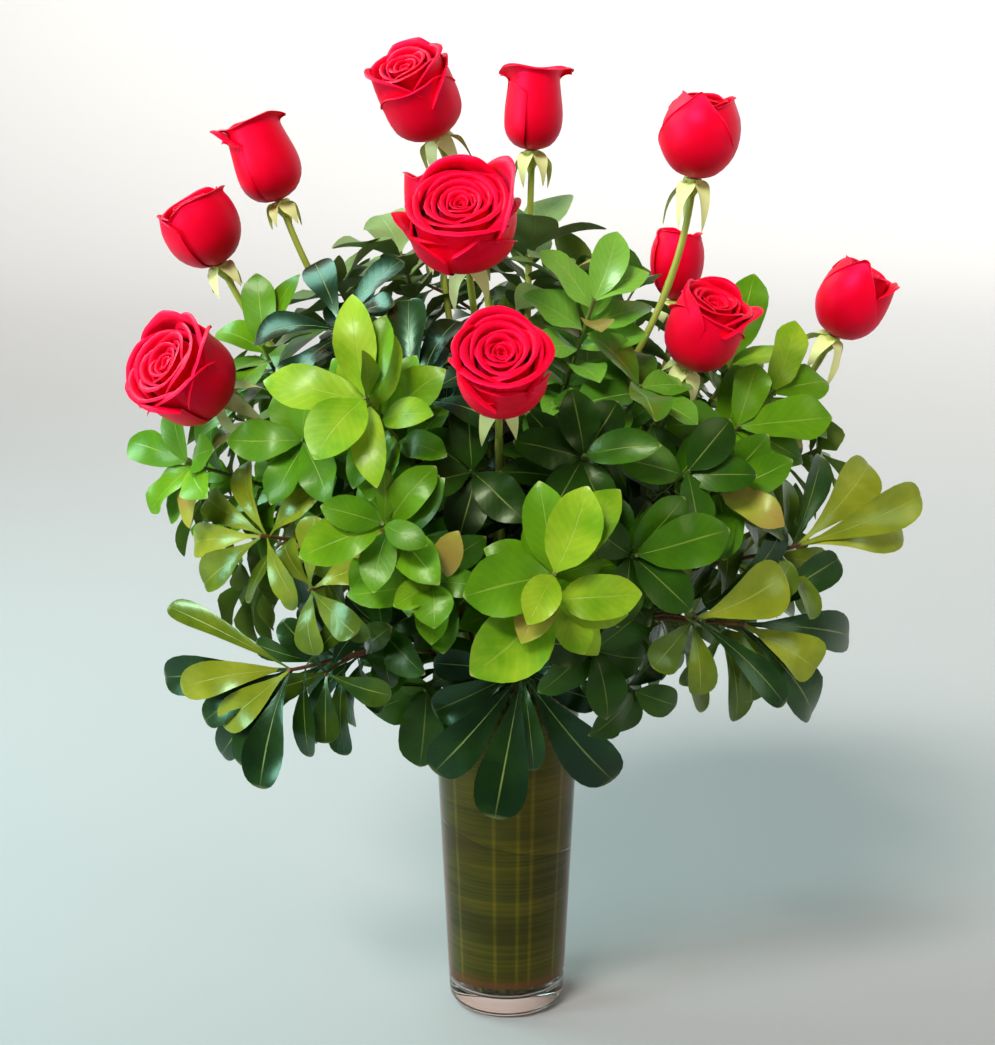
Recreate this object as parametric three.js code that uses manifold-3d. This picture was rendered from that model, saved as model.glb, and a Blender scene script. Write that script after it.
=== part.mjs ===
// Twelve red roses and mixed greenery standing in a tall clear glass vase lined with wrapped leaves.
// Millimetres, +Z up. The vase stands on z = 0 at the origin; the front faces -Y and +X is its right.
import * as THREE from "three";
import { mergeVertices } from "three/addons/utils/BufferGeometryUtils.js";
import Module from "manifold-3d";

const wasm = await Module();
wasm.setup();
const { Manifold, Mesh } = wasm;

// ---- vase
const VASE_HEIGHT = 250;
const RIM_RADIUS = 53; // outside, at the top
const FOOT_RADIUS = 41.8; // outside, just above the rounded foot
const FOOT_CORNER = 10; // radius of the rounded foot
const WALL = 4;
const FLOOR_THICKNESS = 14;
const WATER_LEVEL = 205;
const LINER_THICKNESS = 1.2; // the wrapped leaves inside the glass
const GAP = 0.3; // left between touching pieces
const ROUND_SIDES = 32;

// ---- stems
const ROSE_STEM_RADIUS = 2.6;
const TWIG_RADIUS = 2.0;
const SHOOT_RADIUS = 1.5;
const MOUTH = 236; // height at which the stems leave the straight part inside the vase
const MOUTH_REACH = 39.5; // farthest a stem stands from the axis at the mouth
const FOOT_DRAW_IN = 0.76; // the stems stand closer together at the floor by this share
const STEM_SPACING = 10.4; // between stem centres at the mouth
const STEM_ROOM = 7; // between the centre lines of stems beyond the mouth
const STEM_SIDES = 5;
const TWIG_SIDES = 4;
const STEM_STEPS = 6; // bars from the mouth to the tip
const SHOOT_STEPS = 4;
const BUD = 2.5; // the twig ends this far beyond its last leaves
const LEAST_RISE = 48; // how strongly a low stem still rises clear of the rim before it bends

// ---- leaves
const LEAF_THICKNESS = 1.8; // at the midrib
const LEAF_CLEARANCE = 7.5; // between leaves of different clusters, over their test points
const STEM_CLEARANCE = 7.5; // between a leaf's test points and another stem

// Two stations of each leaf outline: place along the length, then width as a share of the widest.
const OUTLINE = {
  holly: [[0.28, 0.92], [0.68, 0.8]],
  pittosporum: [[0.42, 0.6], [0.8, 0.96]],
  sepal: [[0.2, 1], [0.6, 0.6]],
  petal: [[0.3, 0.85], [0.8, 1]],
};

// ---- roses
// Base of the bloom x, y, z, the way it faces x, y, z, height, greatest radius, lip radius as a share,
// number of outer petals that have folded back, reach of those petals.
const ROSES = [
  [-49, 0, 627, -0.35, -0.45, 0.82, 60, 29, 0.9, 3, 30],
  [18, 80, 611, 0.03, -0.05, 1, 58, 21, 1.15, 3, 26],
  [127, 10, 596, 0.12, -0.08, 1, 59, 28, 0.8, 2, 22],
  [-159, 50, 578, -0.34, 0, 0.94, 60, 23, 1.05, 3, 26],
  [-198, 20, 537, -0.42, -0.1, 0.9, 52, 27, 0.9, 3, 22],
  [-190, -70, 459, -0.62, -0.55, 0.55, 55, 34, 1.05, 5, 30],
  [-26, -92, 553, -0.08, -0.62, 0.78, 52, 38, 1.05, 5, 38],
  [-5, -168, 478, 0.02, -0.74, 0.67, 50, 31, 1.05, 5, 28],
  [122, 90, 503, 0.05, 0, 1, 52, 20, 0.95, 2, 20],
  [119, -60, 479, 0.32, -0.35, 0.88, 55, 27, 1.0, 4, 27],
  [227, 20, 487, 0.44, -0.08, 0.9, 55, 26, 0.95, 3, 26],
  [-47, 60, 546, -0.1, 0.05, 1, 54, 24, 0.95, 3, 22],
];
const BLOOM_SIDES = 9;
const HIP_SIDES = 7;
const HIP_RADIUS = 5.6;
const HIP_LENGTH = 12;
const SEPAL_LENGTH = 30;
const SEPAL_WIDTH = 8;

// A ring of leaves round a twig: how many, opening from the twig in degrees, length, width, first one's turn.
function ring(count, open, length, width, turn) {
  const leaves = [];
  for (let i = 0; i < count; i++) {
    const inner = i % 2;
    leaves.push([inner * 5, turn + (360 * i) / count, open + 12 * inner, length - 5 * inner, width]);
  }
  return leaves;
}

// ---- greenery
// Each spray: its leaf kind, then its clusters. The first cluster ends the main stem, the others end
// side shoots. A cluster is its hub x, y, z, the way it faces x, y, z, and its leaves. A leaf is its
// distance back along the twig, its turn clockwise from the top seen from the front of the cluster,
// its opening from the twig, its length, its width and a roll about its own length.
const SPRAYS = [
  ["holly", [
    [28, -200, 372, 0, -0.95, 0.3, [
      [0, 21, 78, 58, 34], [5, 38, 84, 66, 30], [5, -9, 84, 58, 29],
      [2, -104, 80, 58, 40], [0, -152, 62, 38, 24],
    ]],
    [29, -186, 352, 0.1, -0.95, 0.1, [
      [0, -132, 80, 70, 45], [0, 84, 78, 54, 30], [4, 102, 86, 48, 24], [5, 150, 82, 40, 24],
    ]],
  ]],
  ["holly", [
    [-88, -165, 475, -0.2, -0.85, 0.5, [
      [0, -8, 74, 66, 26], [4, 13, 78, 54, 24], [8, -77, 84, 70, 30],
      [0, -148, 76, 52, 37], [0, 8, 40, 34, 14, 60], [10, 172, 82, 56, 22],
    ]],
  ]],
  ["holly", [
    [-77, -185, 400, -0.1, -0.92, 0.35, [
      [0, -75, 76, 40, 22], [0, -10, 70, 44, 20, 50], [3, -111, 82, 56, 29],
      [0, 117, 78, 32, 18], [8, 41, 80, 48, 24],
    ]],
    [-47, -175, 360, -0.1, -0.92, 0.2, [
      [0, -98, 80, 54, 22], [0, -122, 62, 30, 18], [0, 176, 70, 30, 26], [4, 30, 70, 38, 20],
      [3, 96, 80, 34, 18],
    ]],
  ]],
  ["pittosporum", [
    [10, -85, 274, 0, -0.98, 0.1, [
      [0, -139, 84, 90, 31], [0, -169, 80, 99, 36], [0, 141, 84, 97, 37], [3, 173, 70, 66, 18],
      [4, -116, 86, 66, 26], [4, 112, 86, 58, 24], [6, -84, 84, 60, 22], [6, 78, 84, 56, 22],
    ]],
  ]],
  ["pittosporum", [
    [-142, -130, 290, -0.3, -0.88, 0.25, [
      [0, -64, 84, 92, 18, 40], [0, -92, 86, 91, 27], [3, -98, 70, 74, 24], [0, -127, 74, 58, 25],
      [2, -134, 88, 80, 25], [4, -118, 80, 70, 22], [0, -166, 84, 79, 28], [3, -150, 88, 72, 25],
    ]],
    [-120, -110, 281, -0.1, -0.95, 0.1, ring(5, 80, 46, 20, 180)],
  ]],
  ["pittosporum", [
    [154, -125, 319, 0.5, -0.8, 0.2, [
      [0, 117, 78, 60, 30], [3, 92, 80, 94, 28], [5, 127, 88, 95, 31], [5, 58, 84, 89, 24],
      [0, 30, 60, 50, 20], [6, 165, 86, 52, 24],
    ]],
    [121, -140, 327, 0.4, -0.88, 0.2, [
      [0, 67, 76, 64, 37], [3, 139, 86, 82, 20], [6, 49, 88, 98, 18], [4, -135, 80, 46, 25],
      [6, 170, 84, 50, 22],
    ]],
  ]],
  ["pittosporum", [
    [193, -90, 364, 0.55, -0.7, 0.4, [
      [0, 47, 80, 86, 31], [0, 77, 80, 94, 29], [4, 92, 76, 82, 27], [6, 137, 82, 54, 22],
      [5, 20, 80, 66, 24], [8, -60, 80, 50, 22],
    ]],
  ]],
  ["holly", [
    [153, -70, 440, 0.35, -0.7, 0.6, [
      [0, 85, 80, 68, 32], [4, 100, 86, 56, 24], [6, -92, 84, 52, 30], [0, 20, 70, 46, 26],
      [8, 150, 84, 48, 26],
    ]],
    [140, -110, 405, 0.3, -0.85, 0.4, [
      [0, -20, 70, 40, 24], [2, 75, 80, 50, 24], [5, 128, 84, 54, 26], [5, -88, 82, 46, 26],
      [8, 178, 84, 46, 26],
    ]],
  ]],
  ["holly", [
    [80, -165, 375, 0.3, -0.9, 0.2, [
      [0, 73, 80, 64, 34], [4, 40, 84, 50, 28], [4, 130, 84, 52, 28], [6, -60, 84, 46, 26],
      [8, -170, 84, 46, 26],
    ]],
    [115, -130, 422, 0.3, -0.85, 0.5, [
      [0, 40, 72, 44, 28], [0, 160, 78, 50, 30], [5, -80, 84, 48, 28], [6, 100, 84, 48, 26],
    ]],
  ]],
  ["holly", [
    [55, -100, 527, 0.2, -0.6, 0.8, [
      [0, 22, 62, 52, 24], [0, 62, 76, 44, 22], [6, -40, 70, 50, 26], [22, 70, 80, 50, 24],
      [26, -60, 78, 46, 26], [44, 55, 82, 54, 24], [48, -70, 80, 44, 26], [62, 110, 84, 40, 24],
    ]],
  ]],
  ["pittosporum", [
    [-58, -110, 468, -0.2, -0.6, 0.8, [
      [0, -8, 66, 66, 26], [0, 20, 70, 60, 24], [3, -50, 80, 62, 24], [3, 60, 82, 60, 24],
      [6, -100, 86, 60, 24], [6, 110, 86, 56, 22],
    ]],
    [-110, -60, 505, -0.3, -0.5, 0.8, [
      [0, -30, 70, 62, 24], [0, 40, 72, 60, 26], [3, -90, 82, 66, 24], [3, 95, 82, 56, 22],
      [6, -150, 80, 60, 24], [6, 150, 82, 54, 22],
    ]],
  ]],
  ["holly", [
    [-166, -20, 486, -0.3, -0.3, 0.9, [
      [0, -8, 40, 52, 26], [0, 30, 52, 56, 24], [5, -70, 70, 48, 26], [5, 95, 72, 46, 26],
      [10, 180, 74, 46, 26], [12, -130, 78, 46, 26],
    ]],
    [-133, -100, 436, -0.35, -0.8, 0.45, ring(6, 80, 52, 27, 30)],
  ]],
  ["holly", [
    [158, 10, 475, 0.3, -0.2, 0.9, [
      [0, 25, 34, 62, 30], [0, -20, 52, 50, 28], [6, 100, 68, 52, 28], [8, -80, 74, 48, 26],
      [12, 170, 76, 50, 28], [18, 60, 78, 50, 26],
    ]],
    [181, -30, 457, 0.5, -0.5, 0.7, [
      [0, 20, 50, 52, 28], [2, 80, 74, 50, 28], [5, -60, 80, 46, 26], [7, 140, 80, 50, 26],
    ]],
  ]],
  ["holly", [
    [-215, -60, 413, -0.75, -0.55, 0.35, [
      [0, -72, 74, 60, 24], [0, 10, 66, 46, 26], [3, 70, 74, 48, 28], [4, 130, 78, 44, 26],
      [4, -130, 80, 48, 24], [8, 175, 84, 44, 24],
    ]],
    [-186, -55, 452, -0.6, -0.5, 0.6, ring(6, 76, 44, 24, 60)],
  ]],
  ["pittosporum", [
    [-163, -90, 370, -0.6, -0.75, 0.25, [
      [0, -90, 80, 62, 24], [0, -122, 78, 56, 25], [3, -60, 84, 60, 22], [4, -20, 80, 54, 22],
      [4, 150, 80, 50, 20], [6, 60, 84, 50, 20],
    ]],
    [-129, -120, 341, -0.4, -0.88, 0.25, ring(6, 82, 48, 22, 250)],
  ]],
  ["holly", [
    [57, -120, 300, 0.35, -0.92, -0.1, ring(6, 80, 50, 27, 40)],
    [86, -90, 262, 0.6, -0.75, -0.2, ring(6, 84, 44, 24, 100)],
  ]],
  ["holly", [
    [-56, -66, 256, -0.3, -0.9, -0.25, [
      [0, -165, 80, 60, 34], [2, -110, 84, 50, 27], [3, 160, 78, 44, 24], [5, -60, 84, 46, 26],
      [7, 60, 84, 40, 24],
    ]],
    [-84, -90, 305, -0.5, -0.82, 0, ring(6, 80, 46, 25, 10)],
  ]],
  ["holly", [
    [48, -140, 434, 0.15, -0.85, 0.5, [
      [0, 92, 82, 58, 26], [3, 50, 84, 46, 28], [4, -80, 84, 46, 28], [5, -150, 84, 48, 26],
      [6, 150, 84, 48, 26], [0, -15, 66, 44, 26],
    ]],
    [-24, -120, 420, -0.1, -0.9, 0.4, ring(6, 80, 50, 28, 15)],
  ]],
  ["holly", [
    [86, -90, 470, 0.3, -0.5, 0.8, ring(6, 74, 50, 28, 70)],
    [94, 60, 520, 0.2, 0.1, 0.95, ring(6, 64, 54, 28, 20)],
  ]],
  ["holly", [
    [-76, 70, 540, -0.3, 0.1, 0.95, [
      [0, -60, 58, 60, 36], [0, 80, 60, 60, 34], [4, 20, 66, 54, 32], [5, 190, 60, 56, 34],
      [10, -120, 76, 54, 32], [14, 130, 78, 54, 30],
    ]],
    [-118, 30, 520, -0.4, 0, 0.9, ring(6, 66, 52, 30, 30)],
  ]],
  ["holly", [
    [17, 85, 545, 0.1, 0.1, 1, [
      [0, 60, 44, 58, 34], [0, -50, 50, 56, 34], [4, 120, 64, 58, 36], [5, 200, 58, 54, 34],
      [10, -110, 72, 54, 32], [12, 20, 70, 54, 32],
    ]],
    [40, 20, 530, 0.2, -0.1, 1, ring(6, 66, 50, 28, 0)],
  ]],
  ["pittosporum", [
    [-60, 130, 510, -0.2, 0.6, 0.8, ring(6, 74, 66, 25, 10)],
    [-130, 110, 480, -0.5, 0.5, 0.7, ring(6, 76, 60, 24, 40)],
  ]],
  ["holly", [
    [62, 135, 505, 0.3, 0.6, 0.75, ring(6, 72, 54, 30, 10)],
    [150, 110, 462, 0.6, 0.5, 0.6, ring(6, 76, 52, 28, 50)],
  ]],
  ["holly", [
    [0, 190, 455, 0, 0.85, 0.5, ring(6, 78, 56, 30, 0)],
    [-70, 185, 420, -0.3, 0.9, 0.35, ring(6, 80, 52, 28, 25)],
  ]],
  ["pittosporum", [
    [85, 185, 410, 0.4, 0.85, 0.35, ring(6, 78, 68, 25, 15)],
    [170, 140, 390, 0.75, 0.6, 0.3, ring(6, 80, 62, 24, 70)],
  ]],
  ["holly", [
    [-150, 150, 395, -0.7, 0.65, 0.3, ring(6, 78, 54, 29, 35)],
    [-205, 85, 420, -0.9, 0.3, 0.35, ring(6, 78, 50, 28, 10)],
  ]],
  ["holly", [
    [10, 215, 360, 0.05, 1, 0.1, ring(6, 80, 56, 30, 20)],
    [110, 190, 325, 0.5, 0.85, 0, ring(6, 80, 52, 28, 40)],
  ]],
  ["pittosporum", [
    [-95, 190, 325, -0.45, 0.88, 0, ring(6, 78, 68, 25, 5)],
    [-175, 120, 315, -0.8, 0.55, 0, ring(6, 82, 60, 24, 60)],
  ]],
  ["holly", [
    [-214, 18, 376, -0.97, 0.08, 0.2, ring(6, 80, 50, 28, 80)],
    [-190, 30, 305, -0.95, 0.15, -0.05, ring(6, 80, 50, 27, 15)],
  ]],
  ["holly", [
    [222, 30, 405, 0.9, 0.1, 0.4, ring(6, 78, 50, 28, 45)],
    [205, 70, 325, 0.9, 0.4, 0, ring(6, 80, 52, 28, 75)],
  ]],
  ["pittosporum", [
    [10, 130, 280, 0, 0.98, -0.1, ring(6, 84, 74, 27, 25)],
    [100, 110, 268, 0.6, 0.75, -0.1, ring(6, 84, 60, 23, 60)],
  ]],
  ["holly", [
    [-100, 60, 275, -0.85, 0.45, -0.1, ring(6, 82, 52, 28, 20)],
    [-45, 115, 272, -0.3, 0.9, -0.1, ring(6, 84, 48, 26, 45)],
  ]],
];

// ---- plain arithmetic on points written [x, y, z]
const add = (p, q, k = 1) => [p[0] + k * q[0], p[1] + k * q[1], p[2] + k * q[2]];
const scale = (p, k) => [k * p[0], k * p[1], k * p[2]];
const dot = (p, q) => p[0] * q[0] + p[1] * q[1] + p[2] * q[2];
const cross = (p, q) => [
  p[1] * q[2] - p[2] * q[1],
  p[2] * q[0] - p[0] * q[2],
  p[0] * q[1] - p[1] * q[0],
];
const unit = (p) => scale(p, 1 / Math.sqrt(dot(p, p)));
const distance = (p, q) => Math.sqrt(dot(add(p, q, -1), add(p, q, -1)));
const radians = (degrees) => (degrees * Math.PI) / 180;
// A value between 0 and 1 that looks random but is always the same for the same n.
const vary = (n) => {
  const s = Math.sin(n * 12.9898 + 4.1) * 43758.5453;
  return s - Math.floor(s);
};

// ---- stems
// Where each stem stands at the mouth: out towards its own tip, further out for a flatter stem, then
// pushed apart until none are closer than the spacing.
function mouthPlaces(tips) {
  const places = tips.map(([x, y, z]) => {
    const out = Math.sqrt(x * x + y * y);
    const reach = MOUTH_REACH * Math.min(1, Math.atan2(out, z - MOUTH) / radians(75));
    return [(x / out) * reach, (y / out) * reach];
  });
  for (let round = 0; round < 80; round++) {
    for (let i = 0; i < places.length; i++) {
      for (let j = i + 1; j < places.length; j++) {
        const dx = places[j][0] - places[i][0];
        const dy = places[j][1] - places[i][1];
        const apart = Math.sqrt(dx * dx + dy * dy) + 1e-6;
        if (apart < STEM_SPACING) {
          const push = (0.5 * (STEM_SPACING - apart)) / apart;
          places[i] = [places[i][0] - push * dx, places[i][1] - push * dy];
          places[j] = [places[j][0] + push * dx, places[j][1] + push * dy];
        }
      }
    }
    places.forEach(([x, y], i) => {
      const out = Math.sqrt(x * x + y * y);
      if (out > MOUTH_REACH) places[i] = [(x / out) * MOUTH_REACH, (y / out) * MOUTH_REACH];
    });
  }
  return places;
}

const bendAt = (b, t) => {
  const s = 1 - t;
  const ends = add(scale(b[0], s * s * s), b[3], t * t * t);
  return add(add(ends, b[1], 3 * s * s * t), b[2], 3 * s * t * t);
};

// Points spaced evenly along a bend, which are the joints of its bar.
function jointsOf(bend, steps) {
  const fine = [bend[0]];
  const run = [0];
  for (let k = 1; k <= 100; k++) {
    fine.push(bendAt(bend, k / 100));
    run.push(run[k - 1] + distance(fine[k], fine[k - 1]));
  }
  const joints = [];
  for (let i = 0, k = 1; i <= steps; i++) {
    const target = (run[100] * i) / steps;
    while (k < 100 && run[k] < target) k++;
    const share = (target - run[k - 1]) / (run[k] - run[k - 1]);
    joints.push(add(scale(fine[k - 1], 1 - share), fine[k], share));
  }
  return joints;
}

const along = (joints, t) => {
  const x = t * (joints.length - 1);
  const k = Math.min(Math.floor(x), joints.length - 2);
  return add(scale(joints[k], 1 - (x - k)), joints[k + 1], x - k);
};
const headingAt = (joints, t) => {
  const k = Math.min(Math.floor(t * (joints.length - 1)), joints.length - 2);
  return unit(add(joints[k + 1], joints[k], -1));
};

// Room taken so far: points of leaves by cluster, points of stems by owner, and the blooms as balls.
const room = { leaves: [], stems: [], balls: [] };

// How far the line of a stem keeps from the stems of other owners and from the blooms.
function clearOf(bend, owner) {
  let clear = 100;
  for (let k = 1; k <= 36; k++) {
    const p = bendAt(bend, k / 36);
    const out = Math.sqrt(p[0] * p[0] + p[1] * p[1]);
    if (p[2] < VASE_HEIGHT + 4 && out > RIM_RADIUS - WALL - ROSE_STEM_RADIUS - 1.5) return 0;
    for (const [q, other] of room.stems) if (other !== owner) clear = Math.min(clear, distance(p, q));
    for (const [centre, radius, other] of room.balls) {
      if (other !== owner) clear = Math.min(clear, distance(p, centre) - radius + STEM_ROOM);
    }
  }
  return clear;
}

// A stem bends from its start to its tip. It tries softer, firmer and sideways bends until it passes clear
// of the stems already there, or else takes the clearest of them.
const BENDS = [
  [0.45, 0.36, 0], [0.6, 0.3, 0], [0.36, 0.5, 0], [0.45, 0.36, 0.12], [0.45, 0.36, -0.12],
  [0.6, 0.45, 0.22], [0.6, 0.45, -0.22], [0.4, 0.2, 0.34], [0.4, 0.2, -0.34],
];

function route(start, rise, tip, facing, owner, least, best) {
  const span = distance(start, tip);
  const sideways = unit(add(cross(rise, add(tip, start, -1)), [0.01, 0, 0]));
  for (const [soon, late, aside] of BENDS) {
    if (best && best.clear > STEM_ROOM) return best;
    const bow = scale(sideways, aside * span);
    const first = add(add(start, rise, Math.max(soon * span, least)), bow);
    const last = add(add(tip, facing, -late * span), bow);
    const bend = [start, first, last, tip];
    const clear = clearOf(bend, owner);
    if (!best || clear > best.clear) best = { bend, clear };
  }
  return best;
}

function takeRoom(joints, owner) {
  for (let k = 0; k <= 48; k++) room.stems.push([along(joints, k / 48), owner]);
}

// The line of a main stem: straight from its foot on the vase floor to the mouth, then one bend to its tip.
function stemLine([x, y], tip, facing, owner) {
  const foot = [x * FOOT_DRAW_IN, y * FOOT_DRAW_IN, FLOOR_THICKNESS + GAP];
  const mouth = [x, y, MOUTH];
  const rise = unit(add(mouth, foot, -1));
  const { bend } = route(add(mouth, rise, -3), rise, tip, facing, owner, LEAST_RISE);
  const joints = jointsOf(bend, STEM_STEPS);
  takeRoom(joints, owner);
  return { foot, mouth, bend, joints };
}

// A side shoot leaves the main stem part of the way up, wherever it finds a clear way to its own tip.
function shootLine(main, hub, facing, owner) {
  let best;
  for (const from of [0.45, 0.56, 0.34, 0.68, 0.24]) {
    best = route(along(main, from), headingAt(main, from), hub, facing, owner, 0, best);
  }
  const joints = jointsOf(best.bend, SHOOT_STEPS);
  takeRoom(joints, owner);
  return { bend: best.bend, joints };
}

// ---- leaves: each is a base point, a direction, the way its upper side faces, length, width, outline kind
function leafAt(cluster, row, kind, line, lean = 0, turn = 0, size = 1) {
  const [back, clock, open, length, width, roll = 0] = row;
  const facing = cluster.facing;
  const level = [0, 0.35, 0.94];
  const up = unit(add(level, facing, -dot(level, facing)));
  const right = cross(up, facing);
  const angle = radians(clock + turn);
  const opening = radians(Math.min(100, open + lean));
  const side = add(scale(up, Math.cos(angle)), right, Math.sin(angle));
  const direction = add(scale(facing, Math.cos(opening)), side, Math.sin(opening));
  const flat = unit(add(facing, direction, -dot(facing, direction)));
  const across = cross(direction, flat);
  const upper = add(scale(flat, Math.cos(radians(roll))), across, Math.sin(radians(roll)));
  return { base: line(back), direction, upper, length: length * size, width: width * size, kind };
}

// Ten points over a leaf that stand for it when room is tested.
function leafPoints(leaf) {
  const across = cross(leaf.direction, leaf.upper);
  const points = [add(leaf.base, leaf.direction, leaf.length)];
  for (const t of [0.35, 0.6, 0.85]) {
    const middle = add(leaf.base, leaf.direction, t * leaf.length);
    for (const side of [-0.4, 0, 0.4]) points.push(add(middle, across, side * leaf.width));
  }
  return points;
}

function fits(points, cluster, spray) {
  for (const p of points) {
    if (p[2] < VASE_HEIGHT + 3 && p[0] * p[0] + p[1] * p[1] < (RIM_RADIUS + 4) ** 2) return false;
    for (const [centre, radius] of room.balls) if (distance(p, centre) < radius) return false;
    for (const [q, owner] of room.stems) {
      if (owner !== spray && distance(p, q) < STEM_CLEARANCE) return false;
    }
    for (const [q, owner] of room.leaves) {
      if (owner !== cluster && distance(p, q) < LEAF_CLEARANCE) return false;
    }
  }
  return true;
}

// A leaf leans, turns or stays smaller until it has room; one that finds none does not grow. Each try is
// how far it leans out, how far it turns, both in degrees, and its size.
const TRIES = [
  [0, 0, 1], [10, 8, 1], [-12, -8, 1], [0, 18, 0.95], [0, -18, 0.95], [-26, 0, 0.9], [20, 10, 0.85],
];

function grow(spray, cluster, row, kind, line) {
  for (const [lean, turn, size] of TRIES) {
    const leaf = leafAt(cluster, row, kind, line, lean, turn, size);
    const points = leafPoints(leaf);
    if (fits(points, cluster.id, spray.id)) {
      for (const p of points) room.leaves.push([p, cluster.id]);
      spray.leaves.push(leaf);
      return;
    }
  }
}

// ---- the whole layout
const roses = ROSES.map(([x, y, z, fx, fy, fz, height, radius, lip, folded, reach]) => {
  const facing = unit([fx, fy, fz]);
  const base = [x, y, z];
  return { base, facing, height, radius, lip, folded, reach, hip: add(base, facing, -GAP) };
});
const sprays = SPRAYS.map(([kind, clusters], id) => ({
  id,
  kind,
  leaves: [],
  clusters: clusters.map(([x, y, z, fx, fy, fz, rows], n) => ({
    id: 10 * id + n,
    hub: [x, y, z],
    facing: unit([fx, fy, fz]),
    rows,
  })),
}));

const tips = [
  ...roses.map((r) => add(r.hip, r.facing, -HIP_LENGTH)),
  ...sprays.map((s) => s.clusters[0].hub),
];
const mouths = mouthPlaces(tips);
roses.forEach((r, i) => {
  const reach = Math.max(0.55 * r.height, r.radius) + 5;
  room.balls.push([add(r.base, r.facing, 0.5 * r.height), reach, -1 - i]);
});
roses.forEach((r, i) => {
  r.line = stemLine(mouths[i], tips[i], r.facing, -1 - i);
});
sprays.forEach((s, i) => {
  const n = roses.length + i;
  s.line = stemLine(mouths[n], tips[n], s.clusters[0].facing, s.id);
});
for (const s of sprays) {
  s.shoots = s.clusters.slice(1).map((c) => shootLine(s.line.joints, c.hub, c.facing, s.id));
}

// The leaves of the clusters come first, so the outside of the ball has its pick of the room.
const runOf = (joints) => distance(joints[0], joints[1]) * (joints.length - 1);
for (const s of sprays) {
  s.clusters.forEach((c, n) => {
    const { joints } = n ? s.shoots[n - 1] : s.line;
    const line = (back) => along(joints, 1 - (back + BUD) / runOf(joints));
    for (const row of c.rows) grow(s, c, row, s.kind, line);
  });
}

// ---- solids
const bend4 = (b) => new THREE.CubicBezierCurve3(...b.map((p) => new THREE.Vector3(...p)));

function asSolid(geometry, tolerance = 1e-4) {
  const bare = new THREE.BufferGeometry().setAttribute("position", geometry.getAttribute("position"));
  if (geometry.index) bare.setIndex(geometry.index);
  const merged = mergeVertices(bare.index ? bare.toNonIndexed() : bare, tolerance);
  return new Manifold(
    new Mesh({
      numProp: 3,
      vertProperties: merged.attributes.position.array,
      triVerts: new Uint32Array(merged.index.array),
    }),
  );
}

// A round bar along a curve.
function bar(curve, radius, steps, sides) {
  const round = new THREE.Shape();
  for (let i = 0; i < sides; i++) {
    const a = (2 * Math.PI * i) / sides;
    if (i) round.lineTo(radius * Math.cos(a), radius * Math.sin(a));
    else round.moveTo(radius, 0);
  }
  round.closePath();
  return asSolid(new THREE.ExtrudeGeometry(round, { steps, extrudePath: curve, bevelEnabled: false }));
}

function stemSolid(line, radius, sides) {
  const straight = new THREE.LineCurve3(new THREE.Vector3(...line.foot), new THREE.Vector3(...line.mouth));
  return [bar(straight, radius, 1, sides), bar(bend4(line.bend), radius, STEM_STEPS, sides)];
}

// A solid turned from a profile of [radius, height] points.
function turned(profile, sides) {
  return asSolid(new THREE.LatheGeometry(profile.map(([r, z]) => new THREE.Vector2(r, z)), sides))
    .rotate([90, 0, 0]);
}

// Stands a solid made along +Z on a point, facing a direction.
function placed(made, at, facing) {
  const turn = new THREE.Quaternion().setFromUnitVectors(
    new THREE.Vector3(0, 0, 1),
    new THREE.Vector3(...facing),
  );
  const matrix = new THREE.Matrix4().compose(new THREE.Vector3(...at), turn, new THREE.Vector3(1, 1, 1));
  return made.transform(matrix.elements);
}

// Corners of a leaf: 0 base, 1 and 2 the edges of the first station, 3 and 4 of the second, 5 the tip and
// 6 the ridge underneath, in the middle.
const LEAF_FACES = [
  [0, 2, 1], [1, 2, 4], [1, 4, 3], [3, 4, 5],
  [6, 2, 0], [6, 4, 2], [6, 5, 4], [6, 3, 5], [6, 1, 3], [6, 0, 1],
].flat();

function leafCorners(leaf, arch) {
  const { base, direction, upper, length, width, kind } = leaf;
  const across = cross(direction, upper);
  const rib = (t) => add(add(base, direction, t * length), upper, 4 * arch * t * (1 - t) * length);
  const corners = [base];
  for (const [t, share] of OUTLINE[kind]) {
    const edge = add(rib(t), upper, 0.3 * LEAF_THICKNESS);
    corners.push(add(edge, across, -0.5 * width * share), add(edge, across, 0.5 * width * share));
  }
  corners.push(add(base, direction, length));
  corners.push(add(rib(0.5), upper, -0.7 * LEAF_THICKNESS));
  return corners;
}

// A leaf: a thin wedge, thickest along its middle, arched a little.
function leafSolid(leaf, arch = 0.06) {
  return new Manifold(
    new Mesh({
      numProp: 3,
      vertProperties: new Float32Array(leafCorners(leaf, arch).flat()),
      triVerts: new Uint32Array(LEAF_FACES),
    }),
  );
}

// The room a leaf takes with a gap left round it: three blocks, from its base to its tip.
function leafRoom(leaf, arch = 0.06) {
  const corners = leafCorners(leaf, arch);
  const reach = GAP + 0.1;
  return [[0, 1, 2, 6], [1, 2, 3, 4, 6], [3, 4, 5, 6]].map((block) =>
    Manifold.hull(
      block.flatMap((k) =>
        [[1, 0, 0], [0, 1, 0], [0, 0, 1]].flatMap((axis) => [
          add(corners[k], axis, reach),
          add(corners[k], axis, -reach),
        ]),
      ),
    ),
  );
}

// The inside and outside radius of the vase at a height.
const TAPER = (RIM_RADIUS - FOOT_RADIUS) / (VASE_HEIGHT - FOOT_CORNER);
const outside = (z) => FOOT_RADIUS + TAPER * (z - FOOT_CORNER);
const inside = (z) => outside(z) - WALL;

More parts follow.
